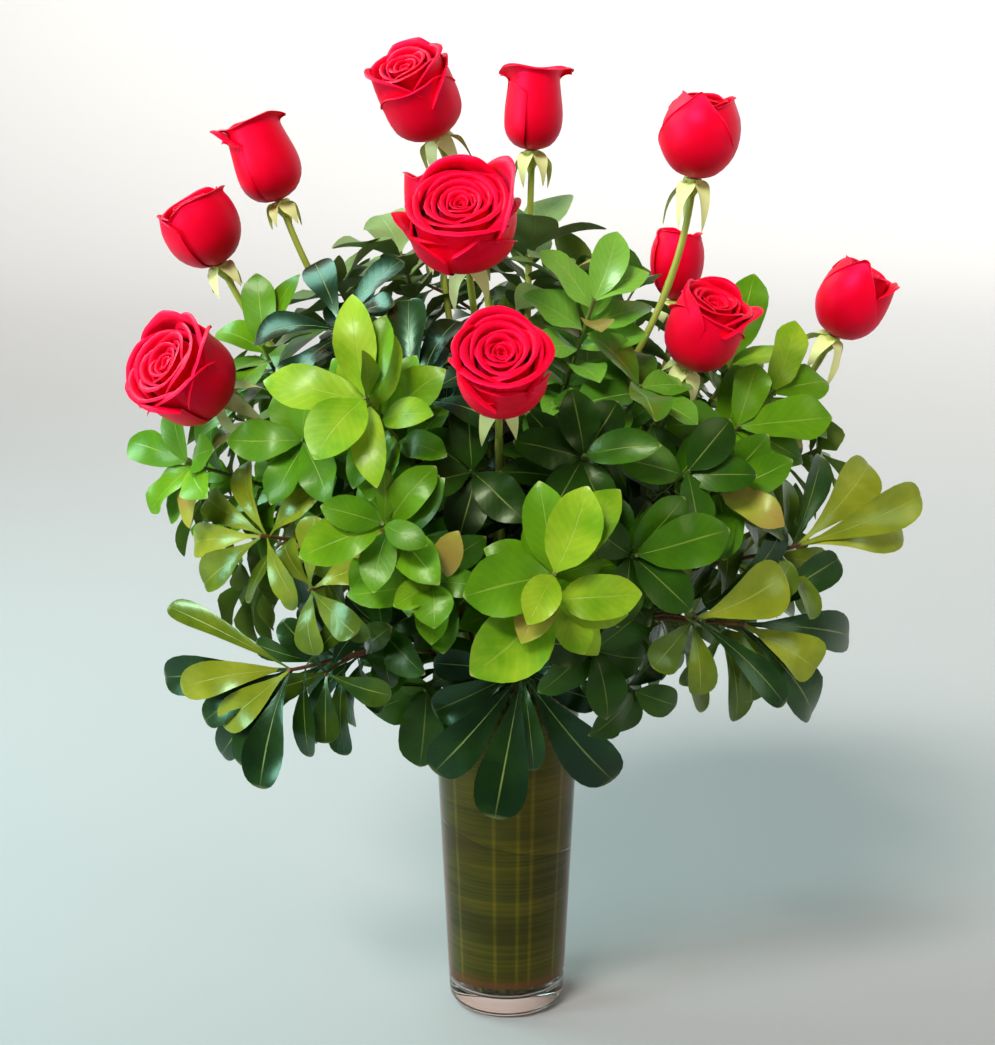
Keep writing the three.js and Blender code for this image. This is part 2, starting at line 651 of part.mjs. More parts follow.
function vaseSolid() {
  const profile = [[0, 0]];
  const corner = FOOT_RADIUS - FOOT_CORNER;
  for (let i = 0; i <= 4; i++) {
    const a = radians(22.5 * i);
    profile.push([corner + FOOT_CORNER * Math.sin(a), FOOT_CORNER * (1 - Math.cos(a))]);
  }
  profile.push([RIM_RADIUS, VASE_HEIGHT - 1.5]);
  profile.push([RIM_RADIUS - 0.5 * WALL, VASE_HEIGHT]);
  profile.push([RIM_RADIUS - WALL, VASE_HEIGHT - 1.5]);
  profile.push([inside(FLOOR_THICKNESS + 6), FLOOR_THICKNESS + 6]);
  profile.push([inside(FLOOR_THICKNESS) - 4, FLOOR_THICKNESS]);
  profile.push([0, FLOOR_THICKNESS]);
  return turned(profile, ROUND_SIDES);
}

// Trims a sleeve along a plane tilted about the Y axis. side is 1 to keep what is above the plane, whose
// lowest point on the sleeve is at the height, or -1 to keep what is below it, its highest point there.
function trimmed(made, height, slant, side) {
  const tilt = radians(slant);
  const reach = inside(height) * Math.sin(Math.abs(tilt));
  return made.trimByPlane([-side * Math.sin(tilt), 0, side * Math.cos(tilt)], side * height + reach);
}

// A leaf wrapped round inside the glass: a tapering sleeve between two heights, its edges slanting.
function linerSolid(low, high, inset, lowSlant, highSlant) {
  const near = (z) => inside(z) - GAP - inset;
  const sleeve = turned([
    [near(low) - LINER_THICKNESS, low],
    [near(low), low],
    [near(high), high],
    [near(high) - LINER_THICKNESS, high],
    [near(low) - LINER_THICKNESS, low],
  ], ROUND_SIDES);
  return trimmed(trimmed(sleeve, low, lowSlant, 1), high, highSlant, -1);
}

// A bloom: a turned goblet of folded petals with a dimple at its heart and outer petals folded back.
function bloomSolid(rose, wider = 0) {
  const { height: h, radius: r, lip } = rose;
  const profile = [
    [0, 0], [0.34 * r, 0], [0.82 * r, 0.16 * h], [r, 0.42 * h], [0.5 * (1 + lip) * r, 0.72 * h],
    [lip * r, 0.94 * h], [0.8 * lip * r, h], [0.34 * r, 0.95 * h], [0, 0.86 * h],
  ];
  const grown = profile.map(([x, z]) => [x && x + wider, z + (z > 0.85 * h ? wider : -wider)]);
  const parts = [turned(grown, BLOOM_SIDES)];
  for (let i = 0; i < rose.folded; i++) {
    const a = (2 * Math.PI * (i + 0.25)) / rose.folded;
    const out = [Math.cos(a), Math.sin(a), 0];
    const direction = unit(add(scale(out, 0.62), [0, 0, 1], 0.78));
    const petal = {
      base: add(scale(out, 0.5 * r), [0, 0, 1], 0.2 * h),
      direction,
      upper: unit(add([0, 0, 1], direction, -dot([0, 0, 1], direction))),
      length: Math.min(rose.reach, 0.95 * h),
      width: 1.3 * r,
      kind: "petal",
    };
    parts.push(...(wider ? leafRoom(petal, -0.05) : [leafSolid(petal, -0.05)]));
  }
  return placed(Manifold.union(parts), rose.base, rose.facing);
}

// A rose stem with its hip and five sepals hanging back from under the bloom.
function roseStemParts(rose, wider = 0) {
  const hip = turned([
    [0, -HIP_LENGTH - wider], [0.5 * HIP_RADIUS + wider, -HIP_LENGTH - wider],
    [HIP_RADIUS + wider, -0.4 * HIP_LENGTH], [HIP_RADIUS + wider, wider], [0, wider],
  ], HIP_SIDES);
  const parts = stemSolid(rose.line, ROSE_STEM_RADIUS + wider, STEM_SIDES);
  parts.push(placed(hip, rose.hip, rose.facing));
  for (let i = 0; i < 5; i++) {
    const a = radians(72 * i + 20);
    const out = [Math.cos(a), Math.sin(a), 0];
    const direction = unit(add(scale(out, 0.75), [0, 0, 1], -0.65 + 0.5 * vary(i + rose.base[0])));
    const sepal = {
      base: scale(out, 0.4 * HIP_RADIUS),
      direction,
      upper: unit(add([0, 0, 1], direction, -dot([0, 0, 1], direction))),
      length: SEPAL_LENGTH * (0.8 + 0.3 * vary(i + 0.3 * rose.base[2])),
      width: SEPAL_WIDTH,
      kind: "sepal",
    };
    sepal.base = add(sepal.base, [0, 0, -2.5]);
    const solids = wider ? leafRoom(sepal, 0.08) : [leafSolid(sepal, 0.08)];
    parts.push(...solids.map((made) => placed(made, rose.hip, rose.facing)));
  }
  return parts;
}

function sprayParts(spray, wider = 0) {
  return [
    ...stemSolid(spray.line, TWIG_RADIUS + wider, TWIG_SIDES),
    ...spray.shoots.map(({ bend }) => bar(bend4(bend), SHOOT_RADIUS + wider, SHOOT_STEPS, TWIG_SIDES)),
    ...spray.leaves.flatMap((leaf) => (wider ? leafRoom(leaf) : [leafSolid(leaf)])),
  ];
}

// ---- assembly: a piece made later gives way to the ones made before it, and keeps its main body
const pieces = [];

function geometryOf(made) {
  const { vertProperties, triVerts } = made.getMesh();
  const geometry = new THREE.BufferGeometry();
  geometry.setAttribute("position", new THREE.BufferAttribute(vertProperties, 3));
  geometry.setIndex(new THREE.BufferAttribute(triVerts, 1));
  return geometry.toNonIndexed();
}

// The main body of a solid, with its closest corners joined, so no sliver hangs on by a point.
function largest(made) {
  const main = (solid) => solid.decompose().reduce((a, b) => (b.volume() > a.volume() ? b : a));
  return main(asSolid(geometryOf(main(made).simplify(0.02)), 5e-3));
}

const boxesMeet = (a, b) => [0, 1, 2].every((k) => a.min[k] < b.max[k] && b.min[k] < a.max[k]);

function settle(name, parts, widerParts, material) {
  let made = Manifold.union(parts);
  for (const piece of pieces) {
    if (!boxesMeet(made.boundingBox(), piece.wider.boundingBox())) continue;
    if (made.intersect(piece.wider).volume() > 1e-4) made = made.subtract(piece.wider);
  }
  made = largest(made);
  pieces.push({ name, made, wider: Manifold.union(widerParts), material });
}

const paint = (colour, roughness, metalness = 0) =>
  new THREE.MeshStandardMaterial({ color: colour, roughness, metalness });
const glass = paint(0xd9e6df, 0.05);
glass.transparent = true;
glass.opacity = 0.35;
const wrap = paint(0x4a5220, 0.55);
const petalRed = paint(0xc8061f, 0.6);
const roseGreen = paint(0x8b9a3a, 0.55);
const hollyGreen = paint(0x6f9a1d, 0.35);
const pittosporumGreen = paint(0x3f5f26, 0.35);
const waterClear = paint(0x9db39a, 0.05);
waterClear.transparent = true;
waterClear.opacity = 0.4;

const two = (n) => String(n + 1).padStart(2, "0");
roses.forEach((r, i) => {
  settle("rose_" + two(i) + "_bloom", [bloomSolid(r)], [bloomSolid(r, GAP)], petalRed);
});
roses.forEach((r, i) => {
  settle("rose_" + two(i) + "_stem", roseStemParts(r), roseStemParts(r, GAP), roseGreen);
});
const counts = { holly: 0, pittosporum: 0 };
for (const s of sprays) {
  const name = s.kind + "_spray_" + two(counts[s.kind]++);
  settle(name, sprayParts(s), sprayParts(s, GAP), s.kind === "holly" ? hollyGreen : pittosporumGreen);
}

// The water fills the lined vase round the stems.
const bed = FLOOR_THICKNESS + GAP;
const lined = (z) => inside(z) - 2 * (GAP + LINER_THICKNESS) - GAP;
let water = turned([
  [0, bed], [lined(bed) - 4, bed], [lined(bed + 6), bed + 6],
  [lined(WATER_LEVEL), WATER_LEVEL], [0, WATER_LEVEL],
], ROUND_SIDES);
for (const s of [...roses, ...sprays]) {
  const straight = new THREE.LineCurve3(
    new THREE.Vector3(...add(s.line.foot, [0, 0, -5])),
    new THREE.Vector3(...add(s.line.mouth, [0, 0, 5])),
  );
  const radius = s.facing ? ROSE_STEM_RADIUS : TWIG_RADIUS;
  water = water.subtract(bar(straight, radius + GAP, 1, s.facing ? STEM_SIDES : TWIG_SIDES));
}

const all = [
  { name: "vase_glass", made: vaseSolid(), material: glass },
  { name: "lining_leaf_lower", made: linerSolid(21, 142, 0, 2, -14), material: wrap },
  { name: "lining_leaf_upper", made: linerSolid(89, 238, GAP + LINER_THICKNESS, 2, 0), material: wrap },
  { name: "water", made: largest(water), material: waterClear },
  ...pieces,
];

const group = new THREE.Group();
group.name = "roses_in_vase";
for (const { name, made, material } of all) {
  const geometry = geometryOf(made);
  geometry.computeVertexNormals();
  const mesh = new THREE.Mesh(geometry, material);
  mesh.name = name;
  group.add(mesh);
}

export default group;
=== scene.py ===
# %% [markdown]
# # Twelve red roses and greenery in a leaf-lined glass vase
# This file dresses a finished solid model. The solids give every piece its place; here each of them is
# stood for by a finer surface with its own finish. We load the solids first.

# %% The solids
import math

import bpy
import numpy as np
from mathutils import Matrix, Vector


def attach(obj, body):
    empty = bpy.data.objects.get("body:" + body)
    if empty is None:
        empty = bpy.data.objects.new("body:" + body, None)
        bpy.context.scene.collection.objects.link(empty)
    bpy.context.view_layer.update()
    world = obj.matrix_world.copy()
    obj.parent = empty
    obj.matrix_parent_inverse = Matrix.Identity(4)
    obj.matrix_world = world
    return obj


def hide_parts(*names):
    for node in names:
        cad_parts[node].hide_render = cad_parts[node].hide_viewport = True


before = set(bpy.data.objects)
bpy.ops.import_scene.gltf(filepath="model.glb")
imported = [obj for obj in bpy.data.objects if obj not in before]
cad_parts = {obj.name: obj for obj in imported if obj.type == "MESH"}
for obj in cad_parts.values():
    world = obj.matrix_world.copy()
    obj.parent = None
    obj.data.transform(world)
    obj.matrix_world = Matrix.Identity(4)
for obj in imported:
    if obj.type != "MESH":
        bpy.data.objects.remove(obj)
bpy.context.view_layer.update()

MM = 0.001

# %% [markdown]
# ## Camera, light and floor
# The bouquet is seen from a little above, from about a metre and a half away, with a long lens. The main
# light is a broad soft one from the upper left of the camera. Two cool lights, low on the left and high
# behind, give glossy leaves their pale bluish shine, and a weak warm one opens the shadows on the right. A
# dim pale surround keeps the inside of the bouquet deep and dark.

# %% Camera and lights
scene = bpy.context.scene
scene.view_settings.view_transform = "Standard"
LOOKED_AT = (-0.0066, 0, 0.358)
MIDDLE = (0, 0, 0.4)


def aim(thing, target):
    """Turns a camera or a lamp so that it looks at the target."""
    thing.rotation_euler = (Vector(target) - thing.location).to_track_quat("-Z", "Y").to_euler()


camera = bpy.data.objects.new("camera", bpy.data.cameras.new("camera"))
camera.location = (LOOKED_AT[0], -1.4616, 0.6954)
camera.data.lens = 73.83
camera.data.sensor_width = 36
aim(camera, LOOKED_AT)
scene.collection.objects.link(camera)
scene.camera = camera


def soft_light(name, place, target, size, power, colour):
    """A round lamp of a size in metres and a power in watts that shines towards the target."""
    lamp = bpy.data.lights.new(name, "AREA")
    lamp.shape = "DISK"
    lamp.size = size
    lamp.energy = power
    lamp.color = colour
    light = bpy.data.objects.new(name, lamp)
    light.location = place
    aim(light, target)
    scene.collection.objects.link(light)


sun = bpy.data.lights.new("window", "SUN")
sun.energy = 7.3
sun.angle = math.radians(28)
sun.color = (1.0, 0.98, 0.94)
window = bpy.data.objects.new("window", sun)
window.location = (-0.95, -1.8, 1.9)
aim(window, MIDDLE)
scene.collection.objects.link(window)
soft_light("side", (-1.9, -0.8, 0.8), MIDDLE, 0.8, 26, (0.7, 0.95, 1.0))
soft_light("fill", (1.9, -1.5, 0.9), (0, 0, 0.35), 1.0, 8, (1.0, 0.93, 0.74))
soft_light("sky", (-1.3, 0.6, 1.7), (0, 0, 0.45), 1.1, 30, (0.62, 0.98, 0.95))

world = bpy.data.worlds.new("pale_surround")
world.use_nodes = True
surround = world.node_tree.nodes["Background"].inputs
surround["Color"].default_value = (0.86, 0.88, 0.9, 1)
surround["Strength"].default_value = 0.16
scene.world = world
print("camera is", round((camera.location - Vector(LOOKED_AT)).length, 3), "m away")

# %% [markdown]
# ## Three ways to make a surface
# Nearly everything here is one of three things. A *leaf or petal* is a thin closed sheet: a grid of points
# and a second grid a little behind it, joined all round their shared edge. Both grids are cut into squares
# along the same diagonals, or a thin leaf would show its back through its front. A *stem* is a ring carried
# along a path. The *vase and water* are a profile turned round the upright axis. Each is worked out for
# whole arrays of points at once and handed to the mesh in one go.

# %% Sheets
def sheets(grid, thick):
    """Closed thin sheets. grid holds, for each sheet, rows along and columns across. The front lies half
    the thickness in front of the grid along its normal (across x along), the back half of it behind, and
    both meet at the edge, where the thickness is nothing. Returns points, faces and which of the faces are
    at the back."""
    count, rows, cols = grid.shape[:3]
    across = np.gradient(grid, axis=2)
    along_it = np.gradient(grid, axis=1)
    normal = np.cross(across, along_it)
    normal /= np.linalg.norm(normal, axis=-1, keepdims=True) + 1e-9
    edge = np.zeros((rows, cols))
    edge[1:-1, 1:-1] = 0.5
    step = normal * (np.asarray(thick) * edge)[..., None]
    front = (grid + step).reshape(count, -1, 3)
    back = (grid - step)[:, 1:-1, 1:-1].reshape(count, -1, 3)
    points = np.concatenate([front, back], axis=1)
    here = np.arange(rows * cols).reshape(rows, cols)
    behind = here.copy()
    behind[1:-1, 1:-1] = rows * cols + np.arange((rows - 2) * (cols - 2)).reshape(rows - 2, -1)
    turned_over = squares(behind)[:, [0, 3, 2, 1]]
    faces = np.concatenate([squares(here), turned_over])
    under = np.repeat([0.0, 1.0], len(faces) // 2)
    each = points.shape[1]
    faces = (faces[None] + each * np.arange(count)[:, None, None]).reshape(-1, 4)
    return points.reshape(-1, 3), faces, np.tile(under, count)


def squares(index):
    """Four-cornered faces between the neighbouring rows and columns of a grid of point numbers."""
    corners = [index[:-1, :-1], index[:-1, 1:], index[1:, 1:], index[1:, :-1]]
    return np.stack(corners, axis=-1).reshape(-1, 4)


def sheet_uv(count, along_share, across_share):
    """u runs across a sheet from 0 to 1 and v along it; the back repeats the front's values."""
    v, u = np.meshgrid(along_share, across_share, indexing="ij")
    flat = np.stack([u, v], axis=-1)
    one = np.concatenate([flat.reshape(-1, 2), flat[1:-1, 1:-1].reshape(-1, 2)])
    return np.tile(one, (count, 1))


# %% [markdown]
# A stem is made of rings of points, so that its thickness can follow any rule and both its ends are closed.
# The same ring faces serve for everything that is turned about the upright: vase, water and hips.

# %% Rods and turned shapes
def ring_faces(rings, sides):
    """Faces of a tube of rings, closed at both ends by a middle point, which are its last two points."""
    index = np.arange(rings * sides).reshape(rings, sides)
    index = np.concatenate([index, index[:, :1]], axis=1)
    wall = squares(index)
    first = np.stack([index[0, 1:], index[0, :-1], np.full(sides, rings * sides)], axis=-1)
    last = np.stack([index[-1, :-1], index[-1, 1:], np.full(sides, rings * sides + 1)], axis=-1)
    return wall, np.concatenate([first, last])


def rod(path, radius, sides):
    """A round rod: at each point of the path a circle stands square to the path, turned as little as
    possible from the one before, by taking away from its side direction what lies along the path."""
    path = np.asarray(path, float)
    heading = np.gradient(path, axis=0)
    heading /= np.linalg.norm(heading, axis=1, keepdims=True)
    side = np.cross(heading[0], [0.3, 1, 0.2])
    frames = []
    for h in heading:
        side = side - h * np.dot(side, h)
        side /= np.linalg.norm(side)
        frames.append(side)
    side = np.array(frames)
    other = np.cross(heading, side)
    angle = np.linspace(0, 2 * np.pi, sides, endpoint=False)
    radius = np.broadcast_to(radius, len(path))[:, None, None]
    ring = side[:, None] * np.cos(angle)[None, :, None] + other[:, None] * np.sin(angle)[None, :, None]
    points = (path[:, None] + radius * ring).reshape(-1, 3)
    points = np.concatenate([points, path[:1], path[-1:]])
    quads, tris = ring_faces(len(path), sides)
    run = np.repeat(np.linspace(0, 1, len(path)), sides)
    turn = np.tile(np.linspace(0, 1, sides, endpoint=False), len(path))
    uv = np.stack([turn, run], axis=-1)
    return dict(points=points, quads=quads, tris=tris, uv=np.concatenate([uv, [[0.5, 0], [0.5, 1]]]))


def turned(profile, sides):
    """A profile of [radius, height] points, from the axis round to the axis, turned about the upright."""
    profile = np.asarray(profile, float)
    angle = np.linspace(0, 2 * np.pi, sides, endpoint=False)
    r, z = profile[1:-1, 0][:, None], profile[1:-1, 1][:, None]
    rings = np.stack([r * np.cos(angle), r * np.sin(angle), z + 0 * angle], axis=-1)
    ends = [[0, 0, profile[0, 1]], [0, 0, profile[-1, 1]]]
    points = np.concatenate([rings.reshape(-1, 3), ends])
    quads, tris = ring_faces(len(profile) - 2, sides)
    share_round = np.arctan2(points[:, 1], points[:, 0]) / (2 * np.pi) + 0.5
    uv = np.stack([share_round, points[:, 2] / VASE_HEIGHT], axis=-1)
    return dict(points=points, quads=quads, tris=tris, uv=uv)


# %% [markdown]
# Hundreds of leaves as single objects would be slow and hard to follow. So one piece of the bouquet is one
# object: its leaves and twigs are joined into one mesh, and what differs between them, such as the tone of
# a leaf, is stored on the mesh, where the finishes can read it.

# %% Putting parts into one mesh
def piece(name, parts, finishes, sharp):
    """Joins parts into one object in the place of the solid of the same name. A part's tone colours it, its
    finish is a number in the list of finishes, and under marks the faces on the underside of a leaf. Edges
    that turn by more than the sharp angle, in degrees, stay crisp."""
    parts = [dict(dict(tris=np.zeros((0, 3), int), tone=0.5, finish=0, under=0.0), **p) for p in parts]
    start = np.cumsum([0] + [len(p["points"]) for p in parts])
    points = np.concatenate([p["points"] for p in parts]) * MM
    uv = np.concatenate([p["uv"] for p in parts])
    tone = np.concatenate([np.broadcast_to(p["tone"], len(p["points"])) for p in parts])
    quads = np.concatenate([p["quads"] + o for p, o in zip(parts, start)])
    tris = np.concatenate([p["tris"] + o for p, o in zip(parts, start)])
    under, finish = (
        np.concatenate([np.broadcast_to(p[key], len(p["quads"])) for p in parts]
                       + [np.full(len(p["tris"]), p["finish"] if key == "finish" else 0) for p in parts])
        for key in ("under", "finish")
    )
    corners = np.concatenate([quads.ravel(), tris.ravel()]).astype(np.int32)
    sizes = np.repeat([4, 3], [len(quads), len(tris)]).astype(np.int32)
    mesh = bpy.data.meshes.new(name)
    mesh.vertices.add(len(points))
    mesh.vertices.foreach_set("co", points.astype(np.float32).ravel())
    mesh.loops.add(len(corners))
    mesh.loops.foreach_set("vertex_index", corners)
    mesh.polygons.add(len(sizes))
    mesh.polygons.foreach_set("loop_start", np.concatenate([[0], np.cumsum(sizes)[:-1]]).astype(np.int32))
    mesh.polygons.foreach_set("material_index", finish.astype(np.int32))
    mesh.uv_layers.new(name="UVMap").data.foreach_set("uv", uv[corners].astype(np.float32).ravel())
    mesh.attributes.new("tone", "FLOAT", "POINT").data.foreach_set("value", tone.astype(np.float32))
    mesh.attributes.new("under", "FLOAT", "FACE").data.foreach_set("value", under.astype(np.float32))
    mesh.update(calc_edges=True)
    mesh.validate()
    mesh.polygons.foreach_set("use_smooth", np.ones(len(sizes), bool))
    mesh.set_sharp_from_angle(angle=math.radians(sharp))
    for finish in finishes:
        mesh.materials.append(finish)
    thing = bpy.data.objects.new(name + "_made", mesh)
    scene.collection.objects.link(thing)
    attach(thing, "root")
    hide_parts(name)


# %% [markdown]
# ## Finishes
# Every finish is worked out by nodes, with no pictures. A small set of helpers keeps the recipes short:
# each leaf, petal and stem finish is one principled shader whose colour comes from a ramp over the piece's
# own tone, broken up by noise, and whose small relief comes from veins that follow the piece's own u and v.

# %% Node helpers
class Recipe:
    """A material under construction: one principled shader and small helpers that add nodes."""

    def __init__(self, name, **settings):
        self.made = bpy.data.materials.new(name)
        self.made.use_nodes = True
        self.tree = self.made.node_tree
        self.shader = self.tree.nodes["Principled BSDF"]
        for socket, value in settings.items():
            self.shader.inputs[socket.replace("_", " ")].default_value = value

    def node(self, kind, **inputs):
        made = self.tree.nodes.new(kind)
        for socket, value in inputs.items():
            self.feed(made.inputs[socket.replace("_", " ")], value)
        return made

    def feed(self, socket, value):
        if isinstance(value, bpy.types.NodeSocket):
            self.tree.links.new(value, socket)
        else:
            socket.default_value = value

    def attribute(self, name):
        found = self.node("ShaderNodeAttribute")
        found.attribute_name = name
        return found.outputs["Fac"]

    def uv(self):
        parts = self.node("ShaderNodeSeparateXYZ", Vector=self.node("ShaderNodeTexCoord").outputs["UV"])
        return parts.outputs["X"], parts.outputs["Y"]

    def place(self, scale):
        where = self.node("ShaderNodeMapping", Vector=self.node("ShaderNodeTexCoord").outputs["Object"])
        where.inputs["Scale"].default_value = scale
        return where.outputs["Vector"]

    def calc(self, kind, a, b=0.0, clamp=False):
        made = self.node("ShaderNodeMath")
        made.operation = kind
        made.use_clamp = clamp
        for socket, value in zip(made.inputs, (a, b)):
            self.feed(socket, value)
        return made.outputs[0]

    def plus(self, a, b):
        return self.calc("ADD", a, b)

    def times(self, a, b):
        return self.calc("MULTIPLY", a, b)

    def off(self, value, middle):
        """How far a value is from the middle, on either side."""
        return self.calc("ABSOLUTE", self.calc("SUBTRACT", value, middle))

    def between(self, value, low, high, to_low=0.0, to_high=1.0):
        """Goes smoothly from to_low, where value is low, to to_high, where it is high."""
        made = self.node("ShaderNodeMapRange")
        made.interpolation_type = "SMOOTHSTEP"
        for socket, v in zip(made.inputs, (value, low, high, to_low, to_high)):
            self.feed(socket, v)
        return made.outputs[0]

    def noise(self, scale, detail=3.0, vector=None):
        made = self.node("ShaderNodeTexNoise", Scale=scale, Detail=detail)
        self.feed(made.inputs["Vector"], self.place((1, 1, 1)) if vector is None else vector)
        return made.outputs["Fac"]

    def ramp(self, value, stops):
        made = self.node("ShaderNodeValToRGB", Fac=value)
        ends = made.color_ramp.elements
        for i, (at, colour) in enumerate(stops):
            stop = ends[i] if i < 2 else ends.new(at)
            stop.position = at
            stop.color = (*colour, 1)
        return made.outputs["Color"]

    def blend(self, share, a, b, kind="MIX"):
        made = self.node("ShaderNodeMix")
        made.data_type = "RGBA"
        made.blend_type = kind
        self.feed(made.inputs[0], share)
        for socket, value in zip(made.inputs[6:8], (a, b)):
            self.feed(socket, value if isinstance(value, bpy.types.NodeSocket) else (*value, 1))
        return made.outputs[2]

    def relief(self, height, distance, strength=1.0):
        made = self.node("ShaderNodeBump", Height=height, Distance=distance, Strength=strength)
        self.feed(self.shader.inputs["Normal"], made.outputs["Normal"])

    def colour(self, value):
        self.feed(self.shader.inputs["Base Color"], value)


# %% [markdown]
# ## Leaf finishes
# Every leaf is leathery, with a shine on the upper side and a paler, duller underside. A pale midrib runs
# from stalk to tip and fine side veins leave it at a slant. The tone of each leaf, from 0 to 1, moves its
# green between an old dark leaf and a young yellowish one, and leaves further inside the bouquet get a
# lower tone, which is painted shade. A tone above 1 gives a tan, drying leaf, so one recipe serves for all.
# It makes four finishes: the egg-shaped leaves, the long ones, a dull grey-green for the wide leaves at the
# back and a paler green that is partly fresh colour and partly painted backlight. The mirrored light is
# tinted green. A white mirror of the pale floor would lie on the dark leaves like a grey veil.

# %% Leaf materials
UNDER_ROUGHNESS = 0.62
DRY_TIP = (0.62, 0.55, 0.22)
TAN = (0.34, 0.25, 0.05)


def leaf_finish(name, above, below, rib_colour, shine, gloss, tint, rib_width, rib_show, vein_slant,
                vein_show, tip_show):
    """above and below are the colours of the two sides, from a dark tone to a bright one. shine is the
    roughness and gloss the strength of the mirrored light, of the colour tint. The rest say how wide the
    rib is, how far the side veins slant, and how much the rib, the veins and the dry tip show."""
    r = Recipe(name, Roughness=shine, Specular_IOR_Level=gloss, Specular_Tint=(*tint, 1),
               Coat_Weight=0.2 * gloss, Coat_Roughness=0.1)
    u, v = r.uv()
    # A leaf's tone is partly its own colour and partly painted shade for leaves deep inside the bouquet.
    tone = r.attribute("tone")
    mottle = r.noise(38, 4)
    shifted = r.plus(tone, r.times(r.calc("SUBTRACT", mottle, 0.5), 0.5))
    upper = r.ramp(shifted, above)
    lower = r.ramp(shifted, below)
    under = r.attribute("under")
    from_rib = r.off(u, 0.5)
    slanted = r.calc("SUBTRACT", r.times(v, 9.0), r.times(from_rib, vein_slant))
    vein = r.calc("POWER", r.calc("ABSOLUTE", r.calc("SINE", r.times(slanted, 3.1416))), 10.0)
    rib = r.between(from_rib, rib_width, rib_width * 0.35)
    rib = r.times(rib, r.between(v, 1.0, 0.7, 0.25, 1.0))
    lighter = r.blend(1.0, upper, (1.5, 1.45, 1.6), "MULTIPLY")
    body = r.blend(r.times(vein, vein_show), upper, lighter)
    ribbed = r.blend(rib_show, upper, rib_colour)
    body = r.blend(rib, body, ribbed)
    tip = r.between(v, 0.965, 1.0)
    body = r.blend(r.times(tip, tip_show), body, DRY_TIP)
    aged = r.times(r.between(tone, 1.0, 1.1), r.between(mottle, 0.3, 0.6, 0.5, 1.0))
    body = r.blend(aged, body, TAN)
    lower = r.blend(r.times(rib, 0.6), lower, rib_colour)
    r.colour(r.blend(under, body, lower))
    r.feed(r.shader.inputs["Roughness"], r.between(under, 0.0, 1.0, shine, UNDER_ROUGHNESS))
    height = r.calc("SUBTRACT", 1.0, r.plus(rib, r.times(vein, 0.12)))
    r.relief(height, 0.0005, 0.35)
    return r.made


holly_leaf = leaf_finish(
    "holly_leaf",
    [(0.0, (0.004, 0.018, 0.001)), (0.3, (0.018, 0.07, 0.002)), (0.6, (0.06, 0.18, 0.003)),
     (0.85, (0.135, 0.31, 0.005)), (1.0, (0.3, 0.45, 0.018))],
    [(0.0, (0.05, 0.1, 0.02)), (0.5, (0.15, 0.27, 0.04)), (1.0, (0.4, 0.48, 0.09))],
    rib_colour=(0.4, 0.5, 0.08), shine=0.34, gloss=0.3, tint=(0.8, 1.0, 0.55), rib_width=0.022,
    rib_show=0.35, vein_slant=5.0, vein_show=0.16, tip_show=0.5,
)
pittosporum_leaf = leaf_finish(
    "pittosporum_leaf",
    [(0.0, (0.003, 0.013, 0.001)), (0.3, (0.016, 0.048, 0.003)), (0.6, (0.085, 0.135, 0.006)),
     (0.85, (0.24, 0.28, 0.012)), (1.0, (0.38, 0.41, 0.04))],
    [(0.0, (0.06, 0.1, 0.03)), (0.5, (0.17, 0.25, 0.04)), (1.0, (0.36, 0.42, 0.08))],
    rib_colour=(0.42, 0.5, 0.12), shine=0.27, gloss=0.45, tint=(0.5, 1.0, 0.66), rib_width=0.024,
    rib_show=0.4, vein_slant=3.5, vein_show=0.07, tip_show=0.15,
)
dull_leaf = leaf_finish(
    "dull_leaf",
    [(0.0, (0.05, 0.09, 0.02)), (0.5, (0.17, 0.26, 0.07)), (1.0, (0.3, 0.4, 0.15))],
    [(0.0, (0.1, 0.15, 0.05)), (0.5, (0.2, 0.28, 0.1)), (1.0, (0.34, 0.43, 0.19))],
    rib_colour=(0.3, 0.38, 0.14), shine=0.5, gloss=0.3, tint=(0.8, 1.0, 0.8), rib_width=0.025,
    rib_show=0.4, vein_slant=5.0, vein_show=0.15, tip_show=0.4,
)
# A brighter, paler green: partly the fresh colour of young leaves, partly painted backlight with pale
# highlights.
fresh_backlit_leaf = leaf_finish(
    "fresh_backlit_leaf",
    [(0.0, (0.015, 0.06, 0.004)), (0.5, (0.08, 0.24, 0.012)), (1.0, (0.24, 0.5, 0.06))],
    [(0.0, (0.08, 0.15, 0.04)), (0.5, (0.2, 0.32, 0.07)), (1.0, (0.4, 0.55, 0.14))],
    rib_colour=(0.42, 0.6, 0.15), shine=0.32, gloss=0.45, tint=(0.7, 1.0, 0.8), rib_width=0.022,
    rib_show=0.45, vein_slant=5.0, vein_show=0.2, tip_show=0.4,
)
print("leaf finishes:", holly_leaf.name, pittosporum_leaf.name, dull_leaf.name, fresh_backlit_leaf.name)
